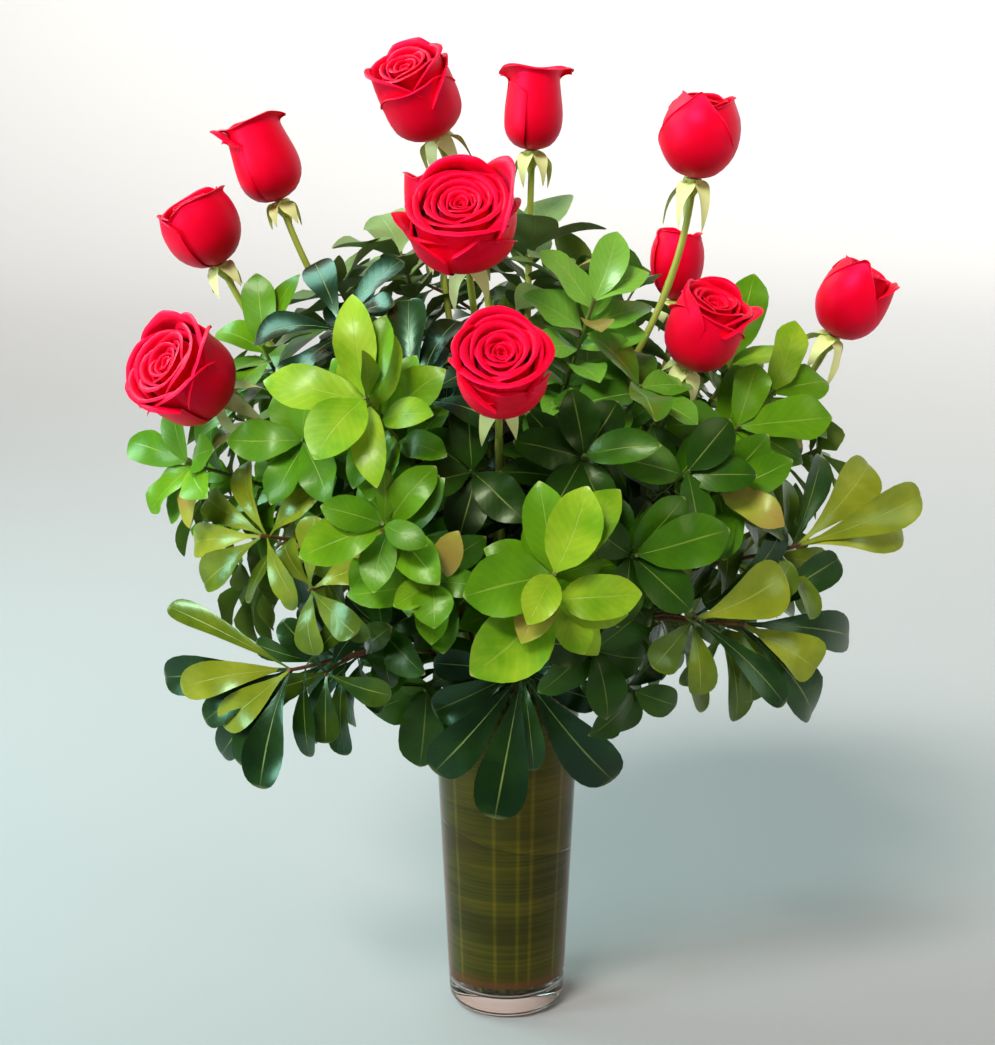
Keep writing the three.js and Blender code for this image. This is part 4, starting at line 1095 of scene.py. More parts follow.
# %% Leaves
OUTLINES = {
    "holly": (
        [0, 0.04, 0.1, 0.19, 0.3, 0.42, 0.54, 0.66, 0.76, 0.85, 0.92, 0.97, 1],
        [0.06, 0.1, 0.3, 0.61, 0.82, 0.95, 1.0, 0.96, 0.86, 0.67, 0.42, 0.2, 0.03],
    ),
    "pittosporum": (
        [0, 0.08, 0.17, 0.3, 0.43, 0.56, 0.68, 0.78, 0.87, 0.93, 0.965, 0.99, 1],
        [0.07, 0.09, 0.14, 0.35, 0.57, 0.78, 0.94, 1.0, 0.94, 0.8, 0.62, 0.36, 0.12],
    ),
    "sepal": (
        [0, 0.05, 0.11, 0.19, 0.28, 0.37, 0.47, 0.57, 0.67, 0.77, 0.87, 0.94, 1],
        [0.75, 0.88, 0.97, 1.0, 0.97, 0.91, 0.81, 0.69, 0.56, 0.43, 0.28, 0.16, 0.04],
    ),
}
LEAF_THICKNESS = 1.1
ACROSS = np.array([-1, 0, 1])
TROUGH = {"holly": 0.22, "pittosporum": 0.26, "sepal": 0.35}
DROOP = {"holly": 0.0, "pittosporum": 0.0, "sepal": 0.45}
CURL = {"holly": 0.14, "pittosporum": 0.3, "sepal": 0.1}


def leaf_parts(leaves, finish, tones, seed):
    """The leaves of one spray as one part, by the rule above: point = base + along the leaf + across by
    half width times s + up by trough, wave, arch and tip curl."""
    kind = leaves[0]["kind"]
    t, share = (np.array(x, float) for x in OUTLINES[kind])
    luck = np.random.default_rng(seed).random((len(leaves), 6))
    base, direction, upper, length, width = (
        np.array([leaf[key] for leaf in leaves], float)
        for key in ("base", "direction", "upper", "length", "width")
    )
    length, width = length[:, None, None], width[:, None, None]
    across = np.cross(direction, upper)
    t_, s_ = t[None, :, None], ACROSS[None, None, :]
    half = 0.5 * width * share[None, :, None]
    trough, wave, phase, curl, twist, sway = (luck[:, k][:, None, None] for k in range(6))
    lift = half * s_**2 * TROUGH[kind] * (0.5 + 1.4 * trough)
    lift = lift + half * s_ * 0.3 * wave * np.sin(2 * np.pi * (1.3 * t_ + phase))
    lift = lift + length * (4 * 0.06 * t_ * (1 - t_) - CURL[kind] * (curl - 0.25) * t_**3)
    lift = lift + half * s_ * 0.5 * (twist - 0.5) * t_ - length * DROOP[kind] * (0.6 + 0.8 * phase) * t_**2
    aside = half * s_ + length * 0.07 * (sway - 0.5) * np.sin(np.pi * t_)
    grid = base[:, None, None]
    for amount, way in ((length * t_ + 0 * s_, direction), (aside, across), (lift, upper)):
        grid = grid + amount[..., None] * way[:, None, None, :]
    points, faces, under = sheets(grid, LEAF_THICKNESS)
    uv = sheet_uv(len(leaves), t, (ACROSS + 1) / 2)
    each = len(points) // len(leaves)
    tone = np.repeat(tones, each)
    return dict(points=points, quads=faces, under=under, uv=uv, tone=tone, finish=finish)


# %% [markdown]
# ## Sprays
# A spray is its twigs and its leaves. The first table is the middle tone of each spray, and the two sets
# after it are the sprays that have a dull finish or a paler one that is partly painted backlight.

# %% Sprays of greenery
TONES = [
    0.88, 0.86, 0.72, 0.16, 0.3, 0.6, 0.66, 0.72, 0.4, 0.85, 0.12, 0.78, 0.86, 0.82, 0.82, 0.34,
    0.34, 0.36, 0.62, 0.5, 0.55, 0.45, 0.6, 0.6, 0.5, 0.6, 0.62, 0.45, 0.66, 0.66, 0.36, 0.5,
]
DULL = {19, 20}
# Sprays whose leaves are painted paler, as if lit from behind.
FRESH_BACKLIT = {9, 18}
TONE_SPREAD = 0.34
INSIDE_PAINTED_SHADE = 0.6
AGED_ABOVE = 0.978
BALL_MIDDLE = [0, 0, 400]
BALL_REACH = [215, 200, 190]


def twig_parts(spray, finish):
    """The main stem, straight to the mouth of the vase and bent beyond, and the side shoots."""
    line = spray["line"]
    straight = line["foot"] + (line["mouth"] - line["foot"]) * np.linspace(0, 1, 6)[:, None]
    path = np.concatenate([straight[:-1], joints_of(line["bend"], 24)[1:]])
    taper = np.linspace(TWIG_RADIUS, 0.62 * TWIG_RADIUS, len(path))
    parts = [rod(path, taper, 8)]
    for shoot in spray["shoots"]:
        path = joints_of(shoot["bend"], 16)
        parts.append(rod(path, np.linspace(SHOOT_RADIUS, 0.8, len(path)), 7))
    return [dict(p, finish=finish, tone=0.5) for p in parts]


def spray_tones(spray):
    """Each leaf's tone: its spray's, more or less, darker further inside the bouquet as painted shade, a
    few leaves aged, and for some leaves a tone of their own."""
    leaves = spray["leaves"]
    luck = np.random.default_rng(100 + spray["id"]).random(len(leaves))
    middle = np.array([leaf["base"] + 0.5 * leaf["length"] * leaf["direction"] for leaf in leaves])
    out = np.linalg.norm((middle - BALL_MIDDLE) / BALL_REACH, axis=1)
    # Leaves further inside the bouquet get a lower tone: painted shade.
    tones = TONES[spray["id"]] + TONE_SPREAD * (luck - 0.5) - INSIDE_PAINTED_SHADE * np.clip(1.0 - out, 0, 0.8)
    tones = np.where(luck > AGED_ABOVE, 1.1, np.clip(tones, 0, 0.95))
    own = np.array([np.nan if leaf["own_tone"] is None else leaf["own_tone"] for leaf in leaves])
    return np.where(np.isnan(own), tones, own)


numbers = {"holly": 0, "pittosporum": 0}
for s in sprays:
    numbers[s["kind"]] += 1
    name = f"{s['kind']}_spray_{numbers[s['kind']]:02d}"
    leaf, twig = (holly_leaf, green_twig) if s["kind"] == "holly" else (pittosporum_leaf, brown_twig)
    leaf = dull_leaf if s["id"] in DULL else fresh_backlit_leaf if s["id"] in FRESH_BACKLIT else leaf
    parts = twig_parts(s, 1) + [leaf_parts(s["leaves"], 0, spray_tones(s), s["id"])]
    piece(name, parts, [leaf, twig], 60)
print("sprays:", numbers)

# %% [markdown]
# ## Rose blooms
# A bloom is built as it grows: petals one after another, each turned on by the golden angle, from a tight
# roll at the heart to wide petals outside. Each petal is a function of u across it and v up it. A smooth
# profile through a few knots says how far from the axis and how high the petal is on its way up; carried
# round the axis it makes the cup. The sides of a petal are shorter than its middle, its radius grows from
# one edge to the other, so each petal tucks under the next, and its rim bends out and down. The outer
# petals are set one by one: some flare at both upper corners, and the front petal of a bud may drop so far
# at its sides that its edges slant down from a tip and show the petals behind.

# %% Petals
def smooth_through(knots, t):
    """A smooth curve through evenly spaced knots: between two knots a cubic whose slope at each knot is
    half the step between the knots on either side of it."""
    knots = np.asarray(knots, float)
    slope = np.gradient(knots, axis=0)
    x = np.clip(t, 0, 1) * (len(knots) - 1)
    k = np.minimum(np.floor(x).astype(int), len(knots) - 2)
    f = (x - k)[..., None]
    return (
        (2 * f**3 - 3 * f**2 + 1) * knots[k] + (f**3 - 2 * f**2 + f) * slope[k]
        + (3 * f**2 - 2 * f**3) * knots[k + 1] + (f**3 - f**2) * slope[k + 1]
    )


BODY_SHARE = 0.66
MOST_SIDE = 0.2


def petal(turn, half, profile, roll, tuck, side, pointed, luck, rows=10, cols=13):
    """u, v -> body: v up to its share runs up the profile, times a reach that is 1 in the middle and less
    at the sides by the side's share. Rim: beyond, the edge rolls outwards round a small circle, out by its
    radius times 1 - cosine and up by its radius times sine. The circle is larger in the middle of a pointed
    petal, where the turn is less too, and at both upper corners if pointed is below nothing; it is smaller
    at the sides of one that drops far. Angle = turn + half * u * spread(v), radius = profile radius *
    (1 + tuck * u) + small waves and one crease."""
    u = np.linspace(-1, 1, cols)[None, :]
    v = np.linspace(0, 1, rows)[:, None]
    body = np.clip(v / BODY_SHARE, 0, 1) ** 0.9
    curl = np.clip((v - BODY_SHARE) / (1 - BODY_SHARE), 0, 1)
    middle = max(pointed, 0) * np.exp(-((u / 0.42) ** 2))
    corners = max(-pointed, 0) * np.exp(-(((1 - np.abs(u)) / 0.45) ** 2))
    rounding = 2.4 + luck[1] if side <= MOST_SIDE else 1.25
    reach = 1 - (side + 0.06 * luck[0]) * np.abs(u) ** rounding + 0.05 * middle
    reach = reach + 0.014 * np.sin(4.2 * u + 6.3 * luck[2])
    place = smooth_through(profile, body * reach)
    round_by = roll[0] * (1 + 1.5 * middle + 2 * corners) * (1 + 0.2 * np.sin(5 * u + 7 * luck[0]))
    round_by = round_by * (1 - min(0.8, 4 * max(side - MOST_SIDE, 0)) * np.abs(u) ** 3)
    turned_by = math.radians(roll[1]) * curl * (1 - 0.45 * middle)
    radius = place[..., 0] * (1 + tuck * u) + round_by * (1 - np.cos(turned_by))
    radius = radius + (0.03 * place[..., 0] + 0.5 * curl) * np.sin(4 * u + 9 * luck[3]) * v
    radius = radius - 0.022 * place[..., 0] * np.exp(-(((u - luck[4] + 0.5) / 0.12) ** 2)) * v
    height = place[..., 1] + round_by * np.sin(turned_by)
    spread = 0.72 + 0.28 * np.sin(np.pi / 2 * np.clip(v / 0.4, 0, 1))
    angle = turn + half * u * spread
    return np.stack([radius * np.cos(angle), radius * np.sin(angle), height], axis=-1)


def petal_part(grid, thick, tone):
    points, faces, under = sheets(grid[None], thick)
    rows, cols = grid.shape[:2]
    uv = sheet_uv(1, np.linspace(0, 1, rows), np.linspace(0, 1, cols))
    return dict(points=points, quads=faces, under=under, uv=uv, tone=tone)


# %% [markdown]
# No two roses open alike, so each has a row: how open it is and how high its belly sits, both from 0 to 1,
# then its outer petals. An outer petal is its turn in degrees (0 right, 90 behind, 180 left, 270 in front
# of a bloom standing upright), its half width in degrees, its height and the radius of its rim as shares of
# the bloom's, the radius in millimetres and the degrees of the roll of its edge, how pointed it is, and
# sometimes how far its sides drop.

# %% Forms of the twelve roses
FORMS = [
    [0.5, 0.3, [[205, 78, 0.98, 0.86, 2, 120, 0], [75, 62, 0.9, 0.88, 2.5, 110, 0.4],
                [355, 66, 0.72, 0.98, 2.5, 110, 0.2], [275, 76, 0.78, 0.96, 1.5, 120, 0]]],
    [0.1, 0, [[90, 92, 0.95, 0.82, 2.4, 105, -0.8], [275, 94, 0.96, 0.8, 2.8, 112, -0.8],
              [196, 58, 0.8, 0.84, 1, 100, 0]]],
    [0.1, 0.6, [[90, 80, 0.94, 0.5, 1, 80, 0], [192, 70, 0.95, 0.56, 0.5, 100, 0],
                [0, 74, 0.93, 0.68, 1.1, 100, 0], [252, 82, 0.98, 0.56, 1.3, 100, 0.2, 0.5]]],
    [0.1, 0, [[90, 92, 0.94, 0.78, 2, 100, -0.8], [184, 58, 0.84, 0.84, 5, 108, 0.6],
              [270, 94, 0.94, 0.78, 2.2, 105, -0.8]]],
    [0.12, 0.7, [[90, 80, 0.92, 0.84, 1, 90, 0], [0, 66, 0.9, 0.82, 0.3, 100, 0],
                 [304, 70, 0.92, 0.84, 1.4, 90, -0.6], [186, 60, 0.88, 0.88, 1.2, 115, 0, 0.16]]],
    [0.75, 0.3, [[20, 60, 0.9, 1, 3, 120, 0], [330, 60, 0.82, 1.02, 3, 130, 0.3],
                 [270, 62, 0.84, 1, 2.5, 130, 0.3], [200, 64, 0.88, 1, 2.5, 130, 0],
                 [130, 62, 0.93, 0.98, 2.5, 120, 0], [75, 60, 0.96, 1, 3, 110, 0.2]]],
    [1.0, 1, [[88, 54, 1.08, 0.84, 2.5, 100, 0.2], [150, 54, 0.93, 0.74, 1.5, 110, 0.2],
              [320, 62, 0.86, 0.94, 2.5, 130, 0], [262, 72, 0.74, 0.88, 1.5, 130, 0],
              [10, 62, 1.06, 1.0, 4, 85, 0.6], [207, 46, 0.74, 1.15, 5, 75, 1]]],
    [0.95, 0.5, [[95, 68, 0.97, 0.97, 2.5, 120, 0], [165, 62, 0.93, 0.95, 2.5, 120, 0],
                 [5, 62, 0.84, 0.97, 3, 130, 0], [255, 66, 0.76, 0.92, 1.5, 130, 0],
                 [215, 50, 0.68, 0.96, 3.5, 110, 0.7], [300, 62, 0.6, 0.92, 1, 130, 0]]],
    [0.1, 0.7, [[250, 78, 0.95, 0.74, 1, 100, 0], [350, 78, 0.92, 0.76, 1, 100, 0],
                [130, 78, 0.95, 0.74, 1, 100, 0]]],
    [0.5, 0.5, [[80, 66, 0.97, 0.9, 2, 110, 0], [185, 74, 0.97, 0.84, 1, 120, 0],
                [350, 62, 0.84, 1.0, 4, 100, 0.4], [258, 92, 0.84, 0.9, 1.4, 125, 0]]],
    [0.2, 0.5, [[90, 84, 0.93, 0.76, 1.2, 95, 0], [176, 72, 0.95, 0.7, 0.8, 80, 0],
                [357, 62, 0.86, 0.9, 2.0, 100, 1.1], [246, 84, 1.02, 0.66, 1.5, 95, 0.2, 0.5]]],
    [0.1, 0.3, [[180, 74, 0.95, 0.85, 1.5, 110, 0], [60, 74, 0.95, 0.85, 1.5, 110, 0],
                [300, 74, 0.95, 0.85, 1.5, 110, 0]]],
]


# %% [markdown]
# The heart needs no table: its petals follow one another by rule, small and tightly rolled in the middle,
# wider and lower further out.

# %% Blooms
def cup(radius, rim, height, belly):
    """Knots of a petal's profile, [radius, height]: flat out of the hip, round the belly, up to the rim.
    With a low belly the side draws in early to a neck; with a high one it widens slowly, like an egg."""
    return [
        [2.5, 0],
        [(0.62 - 0.2 * belly) * radius, 0.07 * height],
        [(0.93 - 0.2 * belly) * radius, 0.24 * height],
        [(1 - 0.06 * belly) * radius, 0.46 * height],
        [(0.5 * (1 + belly)) * radius + 0.5 * (1 - belly) * rim, 0.74 * height],
        [rim, height],
    ]


PETAL_THICKNESS = 0.7


def bloom_parts(rose, form, number):
    """The petals of the heart from the middle out, q from 0 to 1, then the outer petals of the form, all
    turned from upright to the way the bloom faces."""
    openness, belly, outer = form
    is_open = openness > 0.4
    h, r = rose["height"], rose["radius"] - 5 * openness
    count = int(9 + 9 * openness)
    luck = np.random.default_rng(1000 + number).random((count + len(outer), 5))
    grids = []
    for k in range(count):
        q = k / (count - 1)
        turn = math.radians(40 * number + GOLDEN * (count - 1 - k))
        size = 0.07 + 0.85 * q ** (0.95 + 0.3 * openness)
        dome = math.sin(math.pi * min(1, 0.3 + 0.5 * q))
        tall = 0.76 + 0.12 * dome + (0.05 + 0.04 * openness) * q + 0.03 * (luck[k, 4] - 0.5)
        rim = size * r * (0.78 + (0.12 + 0.08 * openness) * q) * (1 if is_open else 0.86)
        half = math.radians(175 - 90 * q**0.8)
        roll = [(0.8 + (0.6 + 1.6 * openness) * q) * (1 if is_open else 0.5), 100 + 25 * q]
        knots = cup(size * r, rim, h * tall, belly)
        grids.append(petal(turn, half, knots, roll, 0.1 - 0.05 * q, 0.1, 0, luck[k]))
    for n, (turn, half, tall, wide, round_by, turned_by, pointed, *drop) in enumerate(outer):
        stand_off = 0.95 + 0.02 * n + (0.03 if drop else 0)
        knots = cup(r * stand_off, r * wide, h * tall, belly)
        turn, half, roll = math.radians(turn), math.radians(half), [round_by, turned_by]
        side = drop[0] if drop else min(MOST_SIDE, 0.05 + 0.35 * openness)
        tuck = 0.0 if drop else 0.03 if is_open else 0.05
        luck_here = luck[count + n]
        grids.append(petal(turn, half, knots, roll, tuck, side, pointed, luck_here, rows=18, cols=25))
    spin = turn_to(rose["facing"])
    # Petals nearer the heart get a lower tone, which the petal finish paints darker: painted shade.
    return [
        petal_part(grid @ spin.T + rose["base"], PETAL_THICKNESS, min(1, 0.35 + 0.65 * i / len(grids)))
        for i, grid in enumerate(grids)
    ]


def turn_to(facing):
    """The turn that carries the upright to the way a bloom faces."""
    return np.array(Vector((0, 0, 1)).rotation_difference(Vector(facing)).to_matrix())


for i, (rose, form) in enumerate(zip(roses, FORMS)):
    piece(f"rose_{i + 1:02d}_bloom", bloom_parts(rose, form, i), [rose_petal], 75)
print("blooms:", len(roses))

# %% [markdown]
# ## Rose stems, hips and sepals
# Under each bloom is a small green hip, and from its top five sepals have folded back as the bud opened.
# The hip is a short turned form, the stem a rod with slight swellings, and a sepal is a small pointed leaf.
# Sepals differ from rose to rose, so each rose has its own share of their full length.

# %% Rose stems
HIP_RADIUS = 5.6
SEPAL_LENGTH = 30
SEPAL_WIDTH = 12
SEPAL_SHARES = [1, 0.85, 1.1, 0.6, 0.65, 0.95, 1, 1, 0.8, 1, 1, 0.8]


def swelling(path):
    """Radius along a rose stem: thinner upwards, with a low knuckle every so often."""
    x = np.linspace(0, 1, len(path))
    knuckle = np.exp(-((((x * 5.3) % 1) - 0.5) / 0.09) ** 2)
    return ROSE_STEM_RADIUS * (1 - 0.1 * x) + 0.35 * knuckle


def sepals_of(rose, number):
    """Five sepals round the top of the hip, folded back by differing amounts."""
    spin = turn_to(rose["facing"])
    length = SEPAL_LENGTH * SEPAL_SHARES[number]
    sepals = []
    for i in range(5):
        a = math.radians(72 * i + 20)
        out = np.array([math.cos(a), math.sin(a), 0])
        direction = unit(out * 0.75 + np.array([0, 0, 1]) * (-0.8 + 0.4 * vary(i + rose["base"][0])))
        upper = unit(np.array([0, 0, 1]) - direction * direction[2])
        sepals.append(dict(
            base=spin @ (out * 0.4 * HIP_RADIUS + [0, 0, -2.5]) + rose["hip"],
            direction=spin @ direction, upper=spin @ upper, kind="sepal", width=SEPAL_WIDTH,
            length=length * (0.8 + 0.3 * vary(i + 0.3 * rose["base"][2])),
        ))
    return leaf_parts(sepals, 1, np.array([0.7, 0.85, 0.6, 0.8, 0.9]), 500 + number)


def rose_stem_parts(rose, number):
    """Stem, hip and sepals. The hip swells from the stem's width with the sine of its height."""
    line = rose["line"]
    straight = line["foot"] + (line["mouth"] - line["foot"]) * np.linspace(0, 1, 10)[:, None]
    path = np.concatenate([straight[:-1], joints_of(line["bend"], 60)[1:]])
    stem = dict(rod(path, swelling(path), 12), tone=0.55)
    profile = [[0, -HIP_LENGTH - 1]]
    for share in np.linspace(0, 1, 9):
        swell = math.sin(math.pi / 2 * min(1, 1.25 * share))
        profile.append([2.4 + (HIP_RADIUS - 2.4) * swell, -HIP_LENGTH * (1 - share)])
    hip = turned(profile + [[0, 0.2]], 16)
    hip["points"] = hip["points"] @ turn_to(rose["facing"]).T + rose["hip"]
    return [stem, dict(hip, tone=0.8), sepals_of(rose, number)]


for i, rose in enumerate(roses):
    parts = rose_stem_parts(rose, i)
    piece(f"rose_{i + 1:02d}_stem", parts, [rose_stalk, sepal_finish], 60)
print("stems:", len(roses), "hip", HIP_LENGTH, "mm long")

# %% [markdown]
# ## Vase, lining leaves and water
# The vase is clear pressed glass with a thick floor. Inside it two long leaves are wrapped round the wall,
# one over the other, and water stands among the stems. Glass and water are the same shapes as their solids,
# turned with many more sides, so that they bend light smoothly. The glass mirrors a little less than real
# glass and in a warm tint, because the wide pale floor would else lie over the dark leaves like mist. Its
# thick foot is painted the rusty brown of the leaf ends above it, a painted reflection of them in the
# glass.

# %% Glass
LEDGE = 6
CORNER = 7
LIP = 2.0


def outside(z):
    """Radius of the tapering wall at a height."""
    return FOOT_RADIUS + (RIM_RADIUS - FOOT_RADIUS) * (z - FOOT_CORNER) / (VASE_HEIGHT - FOOT_CORNER)


def inside(z):
    """Radius of the hollow at a height."""
    return outside(z) - WALL


def glass_finish():
    r = Recipe(
        "vase_glass", Roughness=0.015, IOR=1.42, Transmission_Weight=1.0, Specular_IOR_Level=0.06,
        Specular_Tint=(0.7, 0.6, 0.3, 1),
    )
    parts = r.node("ShaderNodeSeparateXYZ", Vector=r.node("ShaderNodeTexCoord").outputs["Object"])
    # The thick foot is painted rusty brown: a painted reflection of the leaf ends above it.
    painted_foot_reflection = r.between(parts.outputs["Z"], 0.024, 0.01)
    r.colour(r.blend(painted_foot_reflection, (0.93, 0.95, 0.93), (0.46, 0.35, 0.3)))
    r.relief(r.noise(14, 2), 0.002, 0.08)
    return r.made


vase_glass = glass_finish()


def round_corner(middle, reach, rise, degrees):
    """Points round a corner: out by reach times cosine and up by rise times sine, from its middle."""
    return [[middle[0] + reach * math.cos(a), middle[1] + rise * math.sin(a)] for a in np.radians(degrees)]


foot = FOOT_RADIUS - FOOT_CORNER
profile = [[0, 0], [foot - LEDGE, 0]]
profile += round_corner([foot, FOOT_CORNER], FOOT_CORNER, FOOT_CORNER, np.linspace(-90, 0, 9))
profile += [[outside(z), z] for z in (30, 80, 130, 180, 230, VASE_HEIGHT - LIP)]
lip = [RIM_RADIUS - 0.5 * WALL, VASE_HEIGHT - LIP]
profile += round_corner(lip, 0.5 * WALL, LIP, np.linspace(15, 165, 7))
profile += [[inside(z), z] for z in (VASE_HEIGHT - LIP, 230, 180, 130, 80, 40, FLOOR_THICKNESS + CORNER)]
corner = [inside(FLOOR_THICKNESS) - CORNER, FLOOR_THICKNESS + CORNER]
profile += round_corner(corner, CORNER, CORNER, np.linspace(0, -90, 6)[1:])
profile += [[0, FLOOR_THICKNESS]]
piece("vase_glass", [turned(profile, 96)], [vase_glass], 50)
print("glass:", len(profile), "points in the profile")

# %% [markdown]
# The water fills what the glass and both lining leaves leave free. Its edge is drawn up a little where it
# touches the leaf, and it is clear with a slight green from the stems.

# %% Water
water_recipe = Recipe("clear_water", Base_Color=(0.9, 0.93, 0.84, 1), Roughness=0.0, IOR=1.33,
                      Transmission_Weight=1.0)
water_recipe.relief(water_recipe.noise(20, 2), 0.001, 0.05)
clear_water = water_recipe.made
MENISCUS = 0.8


def lined(z):
    """Radius left inside both lining leaves."""
    return inside(z) - 2 * (GAP + LINER_THICKNESS) - GAP


bed = FLOOR_THICKNESS + GAP
top = WATER_LEVEL - MENISCUS
profile = [[0, bed], [lined(bed) - LEDGE, bed]]
profile += [[lined(z), z] for z in (bed + LEDGE, 60, 110, 160, WATER_LEVEL)]
profile += [[lined(WATER_LEVEL) - 3, top], [0, top]]
piece("water", [turned(profile, 72)], [clear_water], 50)
print("water up to", WATER_LEVEL, "mm")

# %% [markdown]
# The lining leaves are strap-shaped leaves laid round inside the wall, so their fine parallel veins run
# round the vase. Wet leaf behind glass is a dark olive, painted darkest where the two lie double as shade,
# with narrow yellowish streaks that are painted highlights and with rusty patches. The rusty brown gathers
# at the foot and at both sides low down, where it is a painted warm reflection. The veins and patches are
# noise stretched to fit, so they need no seam; the streaks stand at set turns round the vase.

# %% Finish of the lining leaves
# Rusty brown: the leaf's own rust patches, and a painted warm reflection at the foot and at the sides.
RUST_AND_WARM_REFLECTION = (0.2, 0.05, 0.02)
# Turns round the vase of narrow pale streaks: painted highlights where tall lights would mirror in the
# glass.
PAINTED_HIGHLIGHT_TURNS = [0.04, 0.13, 0.27, 0.36, 0.49, 0.608, 0.717, 0.778, 0.814, 0.9]


def wrap_finish():
    r = Recipe("wrapped_leaf", Roughness=0.5, Specular_IOR_Level=0.12)
    parts = r.node("ShaderNodeSeparateXYZ", Vector=r.node("ShaderNodeTexCoord").outputs["Object"])
    height = parts.outputs["Z"]
    u, _ = r.uv()
    veins = r.noise(1.0, 3, r.place((9, 9, 700)))
    broad = r.noise(9, 3, r.place((0.7, 0.7, 2.2)))
    mixed = r.plus(r.times(veins, 0.3), r.times(broad, 0.7))
    # A low tone, where the two leaves lie double, is painted darker: painted shade.
    mixed = r.plus(mixed, r.times(r.attribute("tone"), 0.1))
    # Each streak adds a paler line: a painted highlight.
    for at in PAINTED_HIGHLIGHT_TURNS:
        beside = r.off(u, at)
        mixed = r.plus(mixed, r.between(beside, 0.008, 0.001, 0.0, 0.14))
    green = r.ramp(mixed, [(0.3, (0.014, 0.013, 0.0005)), (0.5, (0.044, 0.043, 0.001)),
                           (0.65, (0.11, 0.095, 0.002)), (0.85, (0.24, 0.17, 0.01))])
    # Rusty patches are the leaf's own colour, stronger near the foot; the brown at both sides low down and
    # the band along the foot are a painted warm reflection.
    rusty = r.between(r.noise(11, 2, r.place((1, 1, 1.5))), 0.54, 0.7)
    low = r.between(height, 0.07, 0.02)
    rust_and_reflection = r.calc("MULTIPLY", rusty, r.plus(0.4, low), clamp=True)
    sideways = r.calc("ABSOLUTE", r.calc("COSINE", r.times(u, 6.2832)))
    reflection_at_sides = r.between(sideways, 0.9, 1.0)
    rust_and_reflection = r.calc("MAXIMUM", rust_and_reflection, r.times(reflection_at_sides, r.between(height, 0.2, 0.1)))
    r.colour(r.blend(r.calc("MAXIMUM", rust_and_reflection, r.between(height, 0.034, 0.02)), green, RUST_AND_WARM_REFLECTION))
    r.relief(veins, 0.0005, 0.3)
    return r.made


wrapped_leaf = wrap_finish()
print("lining finish:", wrapped_leaf.name)

# %% [markdown]
# Each lining leaf is one closed band that follows the inside of the glass a hair's breadth away. Its edges
# slant where the strap climbs, and where the two leaves lie double the upper one stands further in.

# %% Lining leaves
WET = 0.12
COVERED = 0.9
STEP = 0.6
WRAP_THICKNESS = 0.7
WRAP_SIDES = 96
WRAP_ROWS = 16


def wrap_part(low, high, low_slant, high_slant, seed, change, doubled):
    """Going round by angle, the lower and upper edges rise and fall with the cosine of the angle and a
    small wave. Outer and inner wall follow the glass and join over the edges. The rows come in two runs,
    below and above the edge change(angle): in one of them the two leaves lie double, and there this leaf
    gets a low tone for painted shade and, if it is the inner one, stands further in."""
    angle = np.linspace(0, 2 * np.pi, WRAP_SIDES, endpoint=False)[:, None]
    bottom = slanted_edge(angle, low, low_slant, 1, seed)
    top = slanted_edge(angle, high, high_slant, -1, seed)
    edge, share = change(angle), np.linspace(0, 1, WRAP_ROWS)[None, :]
    below, above = bottom + (edge - bottom) * share, edge + STEP + (top - edge - STEP) * share
    z = np.concatenate([below, above], axis=1)
    upper_run = np.repeat([0.0, 1.0], WRAP_ROWS)[None, :] + 0 * z
    double = upper_run if doubled == "above" else 1 - upper_run
    outer = inside(z) + WET - (COVERED * double if doubled == "below" else 0)
    inner = outer - WRAP_THICKNESS
    r = np.concatenate([outer, inner[:, ::-1]], axis=1)
    z = np.concatenate([z, z[:, ::-1]], axis=1)
    points = np.stack([r * np.cos(angle), r * np.sin(angle), z], axis=-1)
    rings = r.shape[1]
    index = np.arange(WRAP_SIDES * rings).reshape(WRAP_SIDES, rings)
    index = np.concatenate([index, index[:1]], axis=0)
    index = np.concatenate([index, index[:, :1]], axis=1)
    uv = np.stack([np.broadcast_to(angle / (2 * np.pi), r.shape), z / VASE_HEIGHT], axis=-1)
    # Where the two leaves lie double the tone is low, which the finish paints darker: painted shade.
    tone = np.concatenate([double, double[:, ::-1]], axis=1)
    return dict(points=points.reshape(-1, 3), quads=squares(index)[:, ::-1], uv=uv.reshape(-1, 2),
                tone=1 - tone.ravel())


def slanted_edge(angle, height, slant, side, seed):
    """The edge of a wrapped leaf: a slanting plane cuts the wall in a cosine of the angle, and a small wave
    is laid over it. Its lowest point (side 1) or highest point (side -1) is at the height."""
    lean = math.radians(slant)
    fall = inside(height) * (np.sin(abs(lean)) * side + np.cos(angle) * math.sin(lean))
    return height + fall + side * 0.8 * (1 + np.sin(3 * angle + seed))


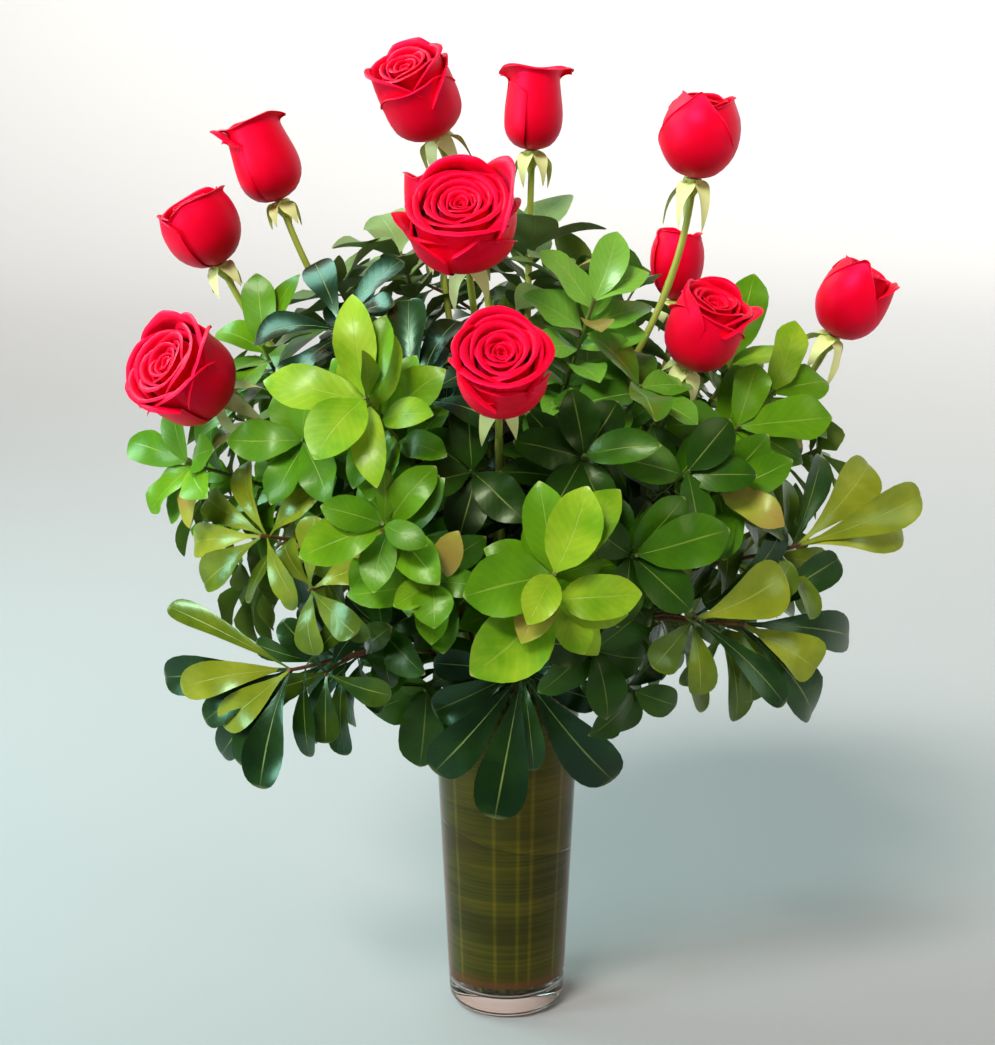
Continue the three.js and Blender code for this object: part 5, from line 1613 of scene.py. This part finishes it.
def lower_top(angle):
    return slanted_edge(angle, LOWER_LEAF[1], LOWER_LEAF[3], -1, 1)


def upper_bottom(angle):
    return slanted_edge(angle, UPPER_LEAF[0], UPPER_LEAF[2], 1, 2)


# Lower and upper edge of each leaf, and the slants of both in degrees.
LOWER_LEAF = [21, 142, 2, -14]
UPPER_LEAF = [89, 238, 2, 0]
lower_leaf = wrap_part(*LOWER_LEAF, 1, upper_bottom, "above")
upper_leaf = wrap_part(*UPPER_LEAF, 2, lower_top, "below")
for name, part in (("lining_leaf_lower", lower_leaf), ("lining_leaf_upper", upper_leaf)):
    piece(name, [part], [wrapped_leaf], 50)
print("lining leaves:", len(lower_leaf["quads"]) + len(upper_leaf["quads"]), "faces")

# %% [markdown]
# ## Floor
# The floor is a wide pale sheet just under the foot of the vase that curves up far away on all sides, so
# there is no horizon. Its lengths are in metres, and the gap below the foot is in millimetres. It isn't
# part of the object.

# %% Floor
FLAT, CURVED, TOP = 4.0, 2.5, 5.5
BELOW_FOOT = 0.05
floor_recipe = Recipe("pale_floor", Base_Color=(0.46, 0.46, 0.46, 1), Roughness=0.85)
curve = np.radians(np.linspace(0, 90, 13))
around = np.linspace(0, 2 * np.pi, 65)[None, :]
reach = np.concatenate([[0.001, 1.5, FLAT], FLAT + CURVED * np.sin(curve)[1:], [FLAT + CURVED]])
rise = np.concatenate([[0, 0, 0], CURVED * (1 - np.cos(curve))[1:], [TOP]])
reach, rise = reach[:, None] / MM, rise[:, None] / MM - BELOW_FOOT
bowl = np.stack([reach * np.cos(around), reach * np.sin(around), rise + 0 * around], axis=-1)
floor_mesh = bpy.data.meshes.new("floor")
corners = squares(np.arange(bowl.shape[0] * 65).reshape(-1, 65))[:, ::-1]
floor_mesh.from_pydata((bowl.reshape(-1, 3) * MM).tolist(), [], corners.tolist())
floor_mesh.polygons.foreach_set("use_smooth", np.ones(len(corners), bool))
floor_mesh.materials.append(floor_recipe.made)
floor = bpy.data.objects.new("floor", floor_mesh)
scene.collection.objects.link(floor)
print("floor reaches", FLAT + CURVED, "m out")
